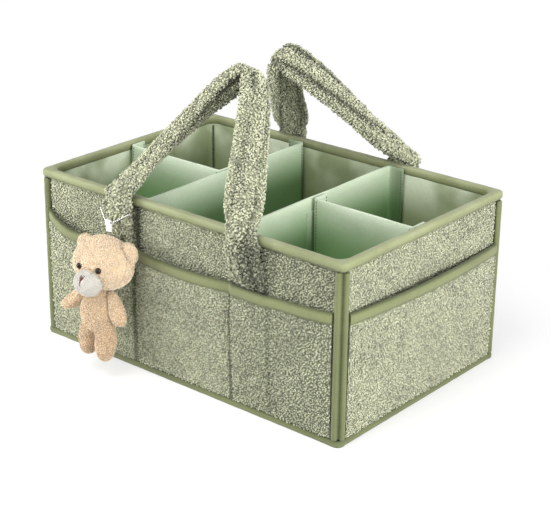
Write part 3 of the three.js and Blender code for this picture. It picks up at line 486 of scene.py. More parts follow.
def shown(name, mesh):
    piece = bpy.data.objects.new(name, mesh)
    bpy.context.scene.collection.objects.link(piece)
    return piece


def copied(name, *nodes):
    """A new piece that starts as the merged meshes of these nodes."""
    copies = [shown(name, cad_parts[node].data.copy()) for node in nodes]
    for piece in copies:
        piece.data.materials.clear()
    only(*copies)
    if len(copies) > 1:
        bpy.ops.object.join()
    piece = bpy.context.view_layer.objects.active
    piece.name = name
    piece.data.name = name
    bpy.ops.mesh.customdata_custom_splitnormals_clear()
    edited(piece, (bpy.ops.mesh.remove_doubles, {"threshold": MERGE}),
           (bpy.ops.mesh.normals_make_consistent, {"inside": False}))
    return piece


def sliced(piece, step, *axes):
    """Cuts the piece's faces by planes this far apart, so that they can bend."""
    for axis in axes:
        places = [vertex.co[axis] for vertex in piece.data.vertices]
        low, high = min(places), max(places)
        count = int((high - low) / step)
        normal = [float(i == axis) for i in range(3)]
        levels = [low + (high - low) * i / (count + 1) for i in range(1, count + 1)]
        edited(piece, *((bpy.ops.mesh.bisect, {
            "plane_co": [level * share for share in normal], "plane_no": normal}) for level in levels))


def roughened(piece, grain, height, group=""):
    """Moves the surface in and out by a cloudy texture of this grain."""
    texture = bpy.data.textures.new(f"{piece.name}_clouds", "CLOUDS")
    texture.noise_scale = grain
    applied(piece, "DISPLACE", texture=texture, texture_coords="LOCAL",
            strength=height, mid_level=0.5, vertex_group=group)


def remeshed(piece, voxel, rounds):
    """Makes one even skin of a piece, and smooths it this many times."""
    applied(piece, "REMESH", mode="VOXEL", voxel_size=voxel)
    applied(piece, "SMOOTH", factor=0.6, iterations=rounds)


def rounded(piece, width):
    """Rounds the sharp edges of a piece."""
    applied(piece, "BEVEL", width=width, segments=2, limit_method="ANGLE", angle_limit=math.radians(50))


def drawn_in(piece, depth):
    """Moves a closed surface in by this much, to leave room for its pile."""
    applied(piece, "DISPLACE", strength=-depth, mid_level=0)


def shaped(piece, name, shares, height):
    """Moves the surface of a piece out by its share of a height, point by point."""
    group = piece.vertex_groups.new(name=name)
    for i, share in enumerate(shares):
        if share > 0.02:
            group.add([i], float(share), "REPLACE")
    applied(piece, "DISPLACE", strength=height, mid_level=0, vertex_group=name)


def bowed(piece, shift):
    """Moves each point by shift(point)."""
    for vertex in piece.data.vertices:
        vertex.co += shift(vertex.co)


def smooth(piece, angle=60):
    only(piece)
    bpy.ops.object.shade_smooth_by_angle(angle=math.radians(angle))


def store(piece, name, values):
    """Keeps one number for each point of a piece, for its material."""
    layer = piece.data.attributes.new(name, "FLOAT", "POINT")
    layer.data.foreach_set("value", np.asarray(values, np.float32))


def finished(piece, material, slot, *nodes):
    """Gives a piece its material and hides the nodes that it stands for; the slot is not used."""
    piece.data.materials.clear()
    piece.data.materials.append(materials[material])
    if nodes:
        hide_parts(*nodes)


def placed(piece, material, body, slot, *nodes):
    """Finishes a piece that moves with one body."""
    finished(piece, material, slot, *nodes)
    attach(piece, body)


def surface_of(piece):
    mesh = piece.data
    return BVHTree.FromPolygons([v.co for v in mesh.vertices], [list(p.vertices) for p in mesh.polygons])


def spread(low, high, step):
    count = max(1, round((high - low) / step))
    return [low + (high - low) * i / count for i in range(count + 1)]


def lofted(name, points, round_again=False):
    """A piece of tubes through points[n, k, s], the place s on ring k of tube n. Its ends are closed,
    or it comes round to its start again."""
    count, rings, sides = points.shape[:3]
    first = np.arange(count * rings * sides).reshape(count, rings, sides)
    after = np.roll(first, -1, axis=2)
    faces = np.stack((first, after, np.roll(after, -1, axis=1), np.roll(first, -1, axis=1)), -1)
    ends = []
    if not round_again:
        faces = faces[:, :-1]
        ends = first[:, 0, ::-1].reshape(-1, sides).tolist() + first[:, -1].reshape(-1, sides).tolist()
    mesh = bpy.data.meshes.new(name)
    mesh.from_pydata(points.reshape(-1, 3).tolist(), [], faces.reshape(-1, 4).tolist() + ends)
    return shown(name, mesh)


def tubes(name, middles, across, radii, sides, shades):
    """A piece of short closed tubes. middles[n, k] is the middle of ring k of tube n, across[n] is
    square to its bend, radii[n, k] is its thickness there and shades[n, k] its painted shade on the pile."""
    ahead = unit(np.gradient(middles, axis=1))
    side = np.broadcast_to(across[:, None], ahead.shape)
    other = np.cross(ahead, side)
    turns = 2 * math.pi * np.arange(sides) / sides
    spokes = side[:, :, None] * np.cos(turns)[:, None] + other[:, :, None] * np.sin(turns)[:, None]
    piece = lofted(name, middles[:, :, None] + radii[:, :, None, None] * spokes)
    store(piece, "pile", np.repeat(shades.ravel(), sides))
    piece.data.shade_smooth()
    return piece


def read_faces(piece, key, width):
    found = np.empty(len(piece.data.polygons) * width, np.float32)
    piece.data.polygons.foreach_get(key, found)
    return found.reshape(-1, width)


def piled(piece, name, stand, rings, seed, hold=None, painted_shade=None):
    """Grows a bent curl of pile out of each face of a piece, as a piece of its own.
    hold(points) says how much of its height the pile has there; where it has least, it is left out.
    The last function says how bright the pile is painted there, as painted shade."""
    middles, ways, areas = (read_faces(piece, *key) for key in (("center", 3), ("normal", 3), ("area", 1)))
    share = np.ones(len(middles)) if hold is None else hold(middles)
    kept = share > CURL_LEAST
    middles, ways, areas, share = middles[kept], ways[kept], areas[kept], share[kept]
    chance = np.random.default_rng(seed)
    count = len(middles)
    lean = chance.normal(size=(count, 3))
    lean = unit(lean - (lean * ways).sum(1, keepdims=True) * ways)
    drift = chance.uniform(-0.5, 0.5, (count, 3))
    drift -= (drift * ways).sum(1, keepdims=True) * ways
    roots = middles + drift * np.sqrt(areas)
    size = (chance.uniform(*CURL_SIZES, count) * share)[:, None, None]
    bend = np.linspace(*CURL_TURN, rings)[None, :, None]
    rise, run = stand * np.sin(bend), stand * (1 - np.cos(bend)) / 2
    places = roots[:, None] + size * (rise * ways[:, None] + run * lean[:, None])
    swell = np.interp(np.linspace(0, 1, rings), (0, 0.5, 1), CURL_SWELL)
    radii = np.sqrt(areas) / 2 * swell[None] * chance.uniform(*CURL_THICKS, (count, 1))
    tone = chance.uniform(*CURL_TONES, (count, 1))
    # Painted shade: pile held short is darker
    tone *= CURL_HELD_SHADE + (1 - CURL_HELD_SHADE) * share[:, None]
    if painted_shade is not None:
        tone *= painted_shade(roots)[:, None]
    # Painted shade along each curl, dark at its root where the curls shade each other
    shades = np.linspace(*CURL_SHADES, rings)[None] * tone
    return tubes(name, places, np.cross(ways, lean), radii, 3, shades)


def backed(piece, painted_shade=None, share=0.21):
    """Paints shade on the cloth that a pile grows from, dark between its curls but not black."""
    spots = spots_of(piece)
    store(piece, "pile", np.full(len(spots), share) if painted_shade is None else share * painted_shade(spots))


def threads(name, stitches, thick):
    """Sewn stitches, each given as (start, end, way out) on a surface: they dive in at both ends."""
    starts, ends, outs = (np.array([tuple(point) for point in column]) for column in zip(*stitches))
    share = np.array((0.0, 0.3, 0.7, 1.0))[None, :, None]
    lift = thick * np.array((-0.6, 0.3, 0.3, -0.6))[None, :, None]
    middles = starts[:, None] * (1 - share) + ends[:, None] * share + lift * outs[:, None]
    across = unit(np.cross(outs, ends - starts))
    radii = np.broadcast_to(thick / 2 * np.array((0.6, 1.0, 1.0, 0.6)), middles.shape[:2])
    return tubes(name, middles, across, radii, 5, np.ones(middles.shape[:2]))


def stitch_shares(length, pitch):
    """Where each stitch of a row starts and ends, as shares of the row, with a gap after each."""
    count = max(1, round(length / pitch))
    return [((i + STITCH_GAP) / count, (i + 1 - STITCH_GAP) / count) for i in range(count)]


def stitches_on(tree, wall, path, pitch):
    """Stitches on an outside surface, along a path of (along, up) places on a wall."""
    runs = []
    for (a0, u0), (a1, u1) in zip(path, path[1:]):
        for shares in stitch_shares(math.hypot(a1 - a0, u1 - u0), pitch):
            ends = []
            for share in shares:
                start, way = wall_place(wall, a0 + (a1 - a0) * share, OUTSIDE, u0 + (u1 - u0) * share)
                ends.append(tree.ray_cast(start, -way, STITCH_PROBE)[0])
            if None not in ends:
                runs.append((*ends, way))
    return runs


def taped(name, outer, inner, tall, round_again=False):
    """A soft-edged tape, this tall, that fills the room between two lines of points."""
    turns = 2 * math.pi * np.arange(TAPE_SIDES) / TAPE_SIDES
    wave = np.stack((np.cos(turns), np.sin(turns)), -1)
    section = np.sign(wave) * np.abs(wave) ** (2 / TAPE_SQUARE)
    outer, inner = np.array(outer), np.array(inner)
    middle, half = (outer + inner)[:, None] / 2, (outer - inner)[:, None] / 2
    up = np.array((0, 0, tall / 2))
    piece = lofted(name, (middle + half * section[:, :1] + up * section[:, 1:])[None], round_again)
    edited(piece, (bpy.ops.mesh.normals_make_consistent, {"inside": False}))
    return piece


def valleys(piece, turn):
    """The places along a strap where its surface folds inward by more than this angle."""
    mesh = bmesh.new()
    mesh.from_mesh(piece.data)
    places = []
    for edge in mesh.edges:
        first, last = (vertex.co for vertex in edge.verts)
        lengthwise = last.z > HEIGHT or abs(last.z - first.z) > (last - first).length / 2
        if lengthwise and len(edge.link_faces) == 2 and edge.calc_face_angle_signed(0) < -turn:
            places += [first.lerp(last, share) for share in spread(0, 1, 0.001 / (last - first).length)]
    mesh.free()
    tree = KDTree(len(places))
    for i, place in enumerate(places):
        tree.insert(place, i)
    tree.balance()
    return tree


# Places on the walls
def turned(wall):
    return Matrix.Rotation(math.radians(WALLS[wall][0]), 3, "Z")


def wall_place(wall, along, out, up):
    """Point outside a wall and the way out there; along runs on round the rounded corners."""
    half, reach = WALLS[wall][1:]
    straight = half - CORNER_RADIUS
    past = max(abs(along) - straight, 0) / CORNER_RADIUS
    side = math.copysign(1, along)
    radius = CORNER_RADIUS + out
    x = side * (min(abs(along), straight) + radius * math.sin(past))
    y = -(reach - CORNER_RADIUS) - radius * math.cos(past)
    spin = turned(wall)
    return spin @ Vector((x, y, up)), spin @ Vector((side * math.sin(past), -math.cos(past), 0))


def loop_line(inset, radius, up, step):
    """Points round the caddy, this far in from its outside, with corners of this radius."""
    points = []
    for wall, (_, half, reach) in WALLS.items():
        spin = turned(wall)
        straight = half - inset - radius
        for x in spread(-straight, straight, 2 * straight / round(2 * half / step)):
            points.append(spin @ Vector((x, inset - reach, up)))
        for i in range(1, CORNER_STEPS):
            angle = math.pi / 2 * i / CORNER_STEPS
            x, y = straight + radius * math.sin(angle), inset + radius - reach - radius * math.cos(angle)
            points.append(spin @ Vector((x, y, up)))
    return points


def local_along(wall, points):
    """How far along its wall each point lies."""
    turn = math.radians(WALLS[wall][0])
    return points[:, 0] * math.cos(turn) + points[:, 1] * math.sin(turn)


def corner_line(wall, turn=math.pi / 4):
    """How far along a wall a line this far round its corner lies."""
    return WALLS[wall][1] - CORNER_RADIUS + CORNER_RADIUS * turn


def pocket_end(wall):
    return corner_line(wall, math.pi / 4 - CORNER_TAPE_TURN) - POCKET_END_GAP


def pocket_top(wall, along):
    end = pocket_end(wall)
    if wall in ("left", "right"):
        return POCKET_SIDE_TOP - POCKET_SIDE_FALL * along / (2 * end)
    left = max(0, 1 - (along + end) / POCKET_LEFT_RUN)
    right = max(0, 1 - (end - along) / POCKET_RIGHT_RUN)
    return POCKET_FRONT_TOP + POCKET_LEFT_RISE * left ** 1.5 + POCKET_RIGHT_RISE * right


def eased(wall, seam):
    """Whether a strap bay's seam is the one nearer a corner, which hardly shows."""
    return abs(seam) > WALLS[wall][1] / 2


def outside(tree, wall, along, up):
    """The outermost point of a surface there. The pinch at an eased seam is filled, and the front
    pocket lies closer to the wall from the right bay to the corner."""
    start, way = wall_place(wall, along, OUTSIDE, up)
    hit = tree.ray_cast(start, -way)[0] or tree.find_nearest(start - OUTSIDE * way)[0]
    for seam in SEAMS[wall]:
        if not eased(wall, seam):
            continue
        near = 1 - abs(along - seam) / SEAM_EASE
        if near > 0:
            sides = []
            for place in (seam - SEAM_EASE, seam + SEAM_EASE):
                beside = wall_place(wall, place, OUTSIDE, up)[0]
                sides.append(way.dot(tree.ray_cast(beside, -way)[0] or hit))
            level = sides[0] + (sides[1] - sides[0]) * (along - seam + SEAM_EASE) / (2 * SEAM_EASE)
            hit = hit + way * (level - way.dot(hit)) * SEAM_EASED * min(1, 2 * near)
        if wall == "front" and 0 < seam < along:
            reach = min(1, (along - seam) / (pocket_end(wall) - seam))
            bay = TAUT_BAY * math.sin(math.pi * reach) * share_of(up, TAUT_FROM, TAUT_RUN)
            stand = way.dot(hit - wall_place(wall, along, 0, up)[0])
            hit = hit - way * min(bay, max(0, stand - TAUT_STAND))
    return hit


def laid_on(name, node, wall, reach, step, rows):
    """A fine sheet laid on the outside of a wall node. Each station has its own rows of heights."""
    tree = surface_of(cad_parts[node])
    columns = [-reach + 2 * reach * i / int(2 * reach / step) for i in range(int(2 * reach / step) + 1)]
    heights = [rows(along) for along in columns]
    count, levels = len(columns) - 1, len(heights[0]) - 1
    bpy.ops.mesh.primitive_grid_add(x_subdivisions=count, y_subdivisions=levels, size=1)
    piece = bpy.context.object
    piece.name = name
    for vertex in piece.data.vertices:
        i = round((vertex.co.x + 0.5) * count)
        j = round((vertex.co.y + 0.5) * levels)
        vertex.co = outside(tree, wall, columns[i], heights[i][j])
    return piece


def corner_reach(point):
    """How far a point lies beyond the straight stretches of the walls, along x and along y."""
    x = math.copysign(max(abs(point.x) - (LENGTH / 2 - CORNER_RADIUS), 0), point.x)
    y = math.copysign(max(abs(point.y) - (WIDTH / 2 - CORNER_RADIUS), 0), point.y)
    return x, y


def corner_way(point):
    """The way out at a rounded corner, and the angle round it: none on the straight stretches."""
    x, y = corner_reach(point)
    if x == 0 or y == 0:
        return Vector((0, 0, 0)), 0
    return Vector((x, y, 0)) / math.hypot(x, y), math.atan2(abs(y), abs(x))


def squared(point):
    """A tape at a corner stands out further than the wall's own rounding."""
    way, angle = corner_way(point)
    outer = share_of(math.hypot(*corner_reach(point)), CORNER_PUSH_FROM, CORNER_PUSH_RUN)
    return way * CORNER_PUSH * outer * math.sin(2 * angle) ** 2


def beaded(point):
    """A corner tape is two round beads with a groove between them."""
    way, angle = corner_way(point)
    groove = CORNER_GROOVE * bell(angle - math.pi / 4, CORNER_GROOVE_TURN)
    return squared(point) + way * (CORNER_SWELL * math.sin(4 * angle) ** 2 - groove)


def corner_out_of_shade(point):
    """How far a point of a corner tape is out of the painted shade in its middle groove and along its two
    edges; all the tape is painted darker too.
    """
    angle = abs(corner_way(point)[1] - math.pi / 4)
    off_edge = share_of(CORNER_TAPE_TURN - angle, 0, CORNER_EDGE_SHADE_TURN)
    return CORNER_UNSHADED_MOST * share_of(angle, 0, CORNER_GROOVE_SHADE_TURN) * off_edge


# Pile on the walls and pockets
def bare_under_tapes(wall, points, top):
    """How tall the pile stands: nothing under the tape at this height or the corner tapes."""
    corner = WALLS[wall][1] - CORNER_RADIUS + CORNER_RADIUS * math.sin(math.pi / 4 - CORNER_TAPE_TURN)
    edge = 0.0008
    up = share_of(top - edge - points[:, 2], 0, edge)
    return up * share_of(corner - edge / 2 - np.abs(local_along(wall, points)), 0, edge)


def painted_front_shade(wall, points):
    """Painted shade: the front's pile is a little darker towards its right end."""
    if wall != "front":
        return np.ones(len(points))
    return 1 - FRONT_SHADE_DARKER * share_of(points[:, 0], FRONT_SHADE_FROM, FRONT_SHADE_RUN)


def beside_seams(wall, points, run, sewn, soft):
    """1 away from the pocket's seams; within this run of one it falls, less at an eased seam."""
    along = local_along(wall, points)
    share = np.ones(len(points))
    for seam in SEAMS[wall]:
        least = soft if eased(wall, seam) else sewn
        share *= np.maximum(least, share_of(np.abs(along - seam), 0, run))
    return share


def fleeced(piece, wall, kind, seed, hold, painted_shade, height, thickness):
    """Grows the pile of a wall's fleece, gives the cloth its thickness and finishes both."""
    pile = piled(piece, f"{wall}_{kind}_pile", height, 3, seed, hold, painted_shade)
    backed(piece, painted_shade)
    applied(piece, "SOLIDIFY", thickness=thickness, offset=-1)
    smooth(piece)
    node = f"{wall}_fleece" if kind == "wall" else f"{wall}_pocket"
    placed(piece, "fleece", "root", "fleece", node)
    placed(pile, "fleece", "root", "fleece")
    return pile


class CADDY_OT_walls(bpy.types.Operator):
    """Lay the curly fleece on the four walls"""

    bl_idname = "caddy.walls"
    bl_label = "Fleece walls"

    pile_from = 0.100
    # Where the straps' roots cast painted shadow on the pile, by how much, how wide, and from where down
    strap_roots = {"front": (-0.058, 0.090)}
    root_shadow_darker = 0.9
    root_wide = 0.006
    root_top = 0.176
    root_run = 0.010

    def execute(self, context):
        sizes = context.scene.caddy_sizes
        curl, start = sizes.wall_curl, self.pile_from
        rows = spread(0.0012, start - 0.002, 0.006) + spread(start, 0.1755, curl)
        for seed, wall in enumerate(WALLS):
            reach = corner_line(wall) - 0.0006
            piece = laid_on(f"{wall}_wall_fleece", f"{wall}_fleece", wall, reach, curl, lambda along: rows)
            roughened(piece, grain=0.03, height=0.0008)

            def hold(points):
                return bare_under_tapes(wall, points, RIM_BOTTOM) * (points[:, 2] > start)

            def painted_shade(points):
                """Painted shadow: the pile is dark beside the straps' roots, below the rim."""
                shade = painted_front_shade(wall, points)
                down = share_of(self.root_top - points[:, 2], 0, self.root_run)
                for root in self.strap_roots.get(wall, ()):
                    beside = bell(local_along(wall, points) - root, self.root_wide)
                    shade *= 1 - self.root_shadow_darker * beside * down
                return shade

            fleeced(piece, wall, "wall", seed, hold, painted_shade, sizes.wall_pile, thickness=0.0012)
        return {"FINISHED"}


class CADDY_OT_pockets(bpy.types.Operator):
    """Lay the curly fleece on the four outside pockets"""

    bl_idname = "caddy.pockets"
    bl_label = "Pockets"

    def execute(self, context):
        sizes = context.scene.caddy_sizes
        curl = sizes.wall_curl
        low = BASE_TAPE_TOP + 0.0005
        count = round((POCKET_FRONT_TOP - low) / curl)
        for seed, wall in enumerate(WALLS):
            def rows(along):
                high = pocket_top(wall, along) - 0.0003
                return [low + (high - low) * i / count for i in range(count + 1)]

            def hold(points):
                tops = np.array([pocket_top(wall, place) for place in local_along(wall, points)])
                share = bare_under_tapes(wall, points, tops - POCKET_TAPE_DEPTH)
                return share * beside_seams(wall, points, run=0.0025, sewn=0.45, soft=0.8)

            def painted_shade(points):
                # Painted shade beside the pocket seams
                seam_painted_shade = beside_seams(wall, points, run=0.0036, sewn=0.4, soft=0.75)
                return painted_front_shade(wall, points) * seam_painted_shade

            end = pocket_end(wall) - 0.0002
            piece = laid_on(f"{wall}_pocket_panel", f"{wall}_pocket", wall, end, curl, rows)
            roughened(piece, grain=0.03, height=0.0010)
            pile = fleeced(piece, wall, "pocket", 10 + seed, hold, painted_shade, sizes.wall_pile, thickness=0.0016)
            flat = (2 * end + 0.004, pocket_top(wall, 0) - low + 0.006)
        return {"FINISHED"}


class CADDY_OT_bindings(bpy.types.Operator):
    """Sew the tapes on the rim, the base, the corners and the pocket tops"""

    bl_idname = "caddy.bindings"
    bl_label = "Bindings"

    def execute(self, context):
        self.pitch = context.scene.caddy_sizes.stitch_pitch
        self.stitches = {"corner": [], "rim": [], "base": [], "pocket": []}
        for wall, corner in zip(("left", *WALLS), ("front_left", "front_right", "back_right", "back_left")):
            self.corner_tape(wall, corner)
        self.loop_tape("rim", RIM_BOTTOM, HEIGHT, (RIM_DEEP, RIM_INNER_RADIUS))
        self.loop_tape("base", 0, BASE_TAPE_TOP, (BASE_TAPE_DEEP, CORNER_RADIUS - BASE_TAPE_DEEP))
        for wall in WALLS:
            self.pocket_tape(wall)
        for name, runs in self.stitches.items():
            placed(threads(f"{name}_stitches", runs, thick=0.0006), "seam", "root", "binding")
        return {"FINISHED"}

    @staticmethod
    def sewn(piece, node, out_of_shade, dipped, grain, height):
        """Paints shade on a tape, draws it in along its stitches, roughens it and finishes it."""
        store(piece, "open", [out_of_shade(vertex.co) for vertex in piece.data.vertices])
        bowed(piece, dipped)
        roughened(piece, grain, height)
        smooth(piece)
        placed(piece, "binding", "root", "binding", node)

    def corner_tape(self, wall, corner):
        """The tape at the right end of a wall."""
        node = f"{corner}_corner_binding"
        piece = copied(f"{corner}_corner_tape", node)
        remeshed(piece, voxel=0.0008, rounds=4)
        self.sewn(piece, node, corner_out_of_shade, beaded, grain=0.008, height=0.0004)
        ends = [(corner_line(wall), up) for up in (BASE_TAPE_TOP + 0.002, RIM_BOTTOM - 0.002)]
        self.stitches["corner"] += stitches_on(surface_of(piece), wall, ends, self.pitch)

    def loop_tape(self, name, low, high, inner_line):
        """A tape all round the rim or the base, with painted shade along its edge on the wall, where it is
        sewn.
        """
        # Painted shade darkens the tape along its edge on the wall, and the base tape all over
        edge, inward, most = (low, 1, 1) if name == "rim" else (high, -1, 0.5)
        row = edge + inward * TAPE_ROW_IN
        lines = (loop_line(*line, (low + high) / 2, 0.003) for line in ((0, CORNER_RADIUS), inner_line))
        piece = taped(f"{name}_tape", *lines, high - low, True)

        def out_of_shade(point):
            return most * share_of(abs(point.z - edge), 0, TAPE_SHADE_RUN)

        def dipped(point):
            x, y = corner_reach(point)
            if math.hypot(x, y) <= TAPE_FACE_REACH:
                return squared(point)
            return squared(point) - Vector((x, y, 0)).normalized() * ROW_DIP * bell(point.z - row, ROW_WIDE)

        self.sewn(piece, f"{name}_binding", out_of_shade, dipped, grain=0.010, height=0.0005)
        tree = surface_of(piece)
        for wall in WALLS:
            end = corner_line(wall)
            path = [(along, row) for along in spread(-end, end, 0.02)]
            self.stitches[name] += stitches_on(tree, wall, path, self.pitch)

    def pocket_tape(self, wall):
        """The tape over a pocket's top edge, which follows the edge's rise and stand."""
        node = f"{wall}_pocket_binding"
        tree = surface_of(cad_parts[node])
        tall = POCKET_TAPE_DEPTH + POCKET_TAPE_ABOVE
        end = pocket_end(wall)
        lines = ([], [])
        for along in spread(-end, end, 0.002):
            middle = pocket_top(wall, along) + POCKET_TAPE_ABOVE - tall / 2
            way = wall_place(wall, along, 0, middle)[1]
            hit = outside(tree, wall, along, middle)
            lines[0].append(hit + way * POCKET_TAPE_OUT)
            lines[1].append(hit - way * POCKET_TAPE_WIDE)
        piece = taped(f"{wall}_pocket_tape", *lines, tall)
        out = turned(wall) @ Vector((0, -1, 0))
        back = turned(wall).inverted()

        def below_top(point):
            return pocket_top(wall, (back @ point).x) - point.z

        # Painted shade along the tape's top and bottom edges, and a little over all of it
        def out_of_shade(point):
            down = below_top(point) + POCKET_TAPE_ABOVE
            return 0.88 * share_of(min(down, tall - down), 0, POCKET_TAPE_SHADE_RUN)

        def dipped(point):
            off_row = POCKET_TAPE_DEPTH - POCKET_ROW_UP - below_top(point)
            return -out * POCKET_ROW_DIP * bell(off_row, ROW_WIDE)

        self.sewn(piece, node, out_of_shade, dipped, grain=0.010, height=0.0006)
        path = [(along, pocket_top(wall, along) - POCKET_TAPE_DEPTH + POCKET_ROW_UP)
                for along in spread(0.001 - end, end - 0.001, 0.008)]
        self.stitches["pocket"] += stitches_on(surface_of(piece), wall, path, self.pitch)


class CADDY_OT_lining(bpy.types.Operator):
    """Hang the satin lining bag inside"""

    bl_idname = "caddy.lining"
    bl_label = "Lining"

    def execute(self, context):
        piece = copied("lining", "lining_bag")
        sliced(piece, CLOTH_STEP, 0, 1, 2)
        slack = piece.vertex_groups.new(name="slack")
        slack.add([v.index for v in piece.data.vertices if 0.01 < v.co.z < 0.160], 1, "REPLACE")
        roughened(piece, grain=0.04, height=0.0012, group="slack")
        smooth(piece)
        placed(piece, "lining", "root", "lining", "lining_bag")
        tree = surface_of(piece)
        overlap = 0.3
        corners = []
        for side, end in ((-1, -1), (-1, 1), (1, -1), (1, 1)):
            way = Vector((side, end, 0)).normalized()
            start = Vector((side * (LENGTH / 2 - 0.03), end * (WIDTH / 2 - 0.03), 0))
            heights = spread(0.008, RIM_BOTTOM - 0.001, 0.006)
            hits = [tree.ray_cast(start + Vector((0, 0, up)), way)[0] for up in heights]
            for low, high in zip(hits, hits[1:]):
                corners.append((low.lerp(high, -overlap), low.lerp(high, 1 + overlap), -way))
        seams = threads("lining_corner_seams", corners, thick=0.0022)
        placed(seams, "mint_seam", "root", "lining")
        base = copied("base_cover", "base_cloth")
        sliced(base, CLOTH_STEP, 0)
        smooth(base)
        placed(base, "base", "root", "fleece", "base_cloth")
        return {"FINISHED"}


class CADDY_OT_boards(bpy.types.Operator):
    """Give the hidden boards their finish"""

    bl_idname = "caddy.boards"
    bl_label = "Boards"

    def execute(self, context):
        for name in (*WALLS, "base"):
            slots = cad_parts[f"{name}_board"].data.materials
            slots.clear()
            slots.append(materials["board"])
        return {"FINISHED"}


class CADDY_OT_dividers(bpy.types.Operator):
    """Make the four mint dividers, with their folded flaps and seams, and their fastener tapes"""

    bl_idname = "caddy.dividers"
    bl_label = "Dividers"

    panel = 0.0024
    edge = 0.0018
    seam_foot = 0.003
    seam_head = 0.0015
    probe_from = 0.004
    probe_reach = 0.01

    def execute(self, context):
        pitch = context.scene.caddy_sizes.stitch_pitch
        for side in ("left", "right"):
            for kind, strips in (("cross", ("hook_strip_front", "hook_strip_back", "loop_strip")),
                                 ("half", ("hook_strip_wall", "hook_strip_cross"))):
                self.divider(side, kind, pitch)
                for strip in strips:
                    node = f"{side}_{kind}_{strip}"
                    piece = copied(f"{node}_tape", node)
                    sliced(piece, 0.003, 2)
                    roughened(piece, grain=0.002, height=0.0003)
                    smooth(piece)
                    placed(piece, "hooks", f"{side}_{kind}_divider", "fastener_tape", node)
        return {"FINISHED"}

    def divider(self, side, kind, pitch):
        """One panel with its folded flaps, and the seams that hold its folds."""
        body = f"{side}_{kind}_divider"
        piece = copied(f"{side}_{kind}_panel", body)
        rounded(piece, 0.0007)
        sliced(piece, CLOTH_STEP, 0, 1, 2)
        low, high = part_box(body)
        panel = low.x if side == "right" else high.x
        # Painted shade on the cross dividers' flaps
        flaps = share_of(np.abs(spots_of(piece)[:, 0] - panel), self.panel, 0.006)
        store(piece, "open", 1 - flaps * (kind == "cross"))
        roughened(piece, grain=0.05, height=0.0014)
        smooth(piece)
        placed(piece, "mint", body, "divider_cloth", body)
        tree = surface_of(piece)
        rows = []
        for (x, y), way in self.seams(side, kind, low, high):
            bottom = Vector((x, y, low.z + self.seam_foot))
            top = Vector((x, y, high.z - self.seam_head))
            for shares in stitch_shares((top - bottom).length, pitch):
                starts = [bottom.lerp(top, share) + way * self.probe_from for share in shares]
                hits = [tree.ray_cast(start, -way, self.probe_reach)[0] for start in starts]
                if None not in hits:
                    rows.append((*hits, way))
        seams = threads(f"{side}_{kind}_stitches", rows, thick=0.0009)
        placed(seams, "mint_seam", body, "divider_cloth")

    def seams(self, side, kind, low, high):
        """Where the upright rows of stitches are: beside each fold and at the free edge of each flap."""
        if kind == "cross":
            fold, free, way = (high.x, low.x, 1) if side == "left" else (low.x, high.x, -1)
            for y, out in ((low.y, 1), (high.y, -1)):
                yield (free + way * self.edge, y + out * self.panel), Vector((0, out, 0))
                yield (fold, y + out * (self.panel + self.edge)), Vector((way, 0, 0))
        else:
            for x, out in ((low.x, 1), (high.x, -1)):
                yield (x + out * self.panel, high.y - self.edge), Vector((out, 0, 0))
                yield (x + out * (self.panel + self.edge), low.y), Vector((0, -1, 0))


class CADDY_OT_straps(bpy.types.Operator):
    """Form the two padded carrying straps, each one piece from pocket to pocket"""

    bl_idname = "caddy.straps"
    bl_label = "Straps"

    hinge_out = 0.1338
    hinge_up = 0.181
    fold_depth = 0.0026
    foot_fill = 0.0035
    flap_room = (0.126, 0.194)
    flap_share = 0.3
    flap_least = 0.08

    def execute(self, context):
        sizes = context.scene.caddy_sizes
        for seed, (name, side) in enumerate((("front", -1), ("back", 1))):
            body = f"{name}_strap"
            nodes = (body, f"{body}_left_end", f"{body}_right_end")
            piece = copied(f"{name}_carrying_strap", *nodes)
            folds = valleys(piece, math.radians(15))
            remeshed(piece, sizes.strap_curl, rounds=3)

            def off_folds(points):
                return np.array([folds.find(Vector(point))[2] for point in points])

            def hold(points):
                """The pile is short in the folds, and where the strap leans over the dividers' flaps."""
                share = np.maximum(0.12, share_of(off_folds(points), 0.0012, 0.0018))
                out, up = self.flap_room
                over_flaps = (np.abs(points[:, 1]) < out) & (points[:, 2] < up)
                return np.where(over_flaps, self.flap_share * share + self.flap_least, share)

            def painted_shade(points):
                """Painted shade: the strap is dark in its folds, and the front one at its root's right edge.
                """
                least = 0.08 if side > 0 else np.interp(points[:, 2], (0.215, 0.27), (0.80, 0.10))
                least = np.where(points[:, 0] * -side > 0.03, 0.65, least)
                folded = least + (1 - least) * share_of(off_folds(points), 0.0018, 0.0038)
                across = share_of(points[:, 0], 0.066, 0.018)
                below = share_of(0.192 - points[:, 2], 0, 0.022)
                return folded * (1 - 0.78 * across * below * (side < 0))

            drawn_in(piece, sizes.strap_pile / 2)
            spots = spots_of(piece)
            shaped(piece, "folds", bell(off_folds(spots), 0.0025), -self.fold_depth)
            if side > 0:
                low = bell(spots[:, 2] - 0.200, 0.022) * (spots[:, 0] > 0)
                shaped(piece, "filled", low, self.foot_fill)
            roughened(piece, grain=0.008, height=0.0016)
            smooth(piece, 80)
            pile = piled(piece, f"{name}_strap_pile", sizes.strap_pile, 4, 20 + seed, hold, painted_shade)
            backed(piece, painted_shade, 0.22)
            finished(piece, "strap", "fleece", *nodes)
            finished(pile, "strap", "fleece")
            for part in (piece, pile):
                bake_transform(part)
        return {"FINISHED"}


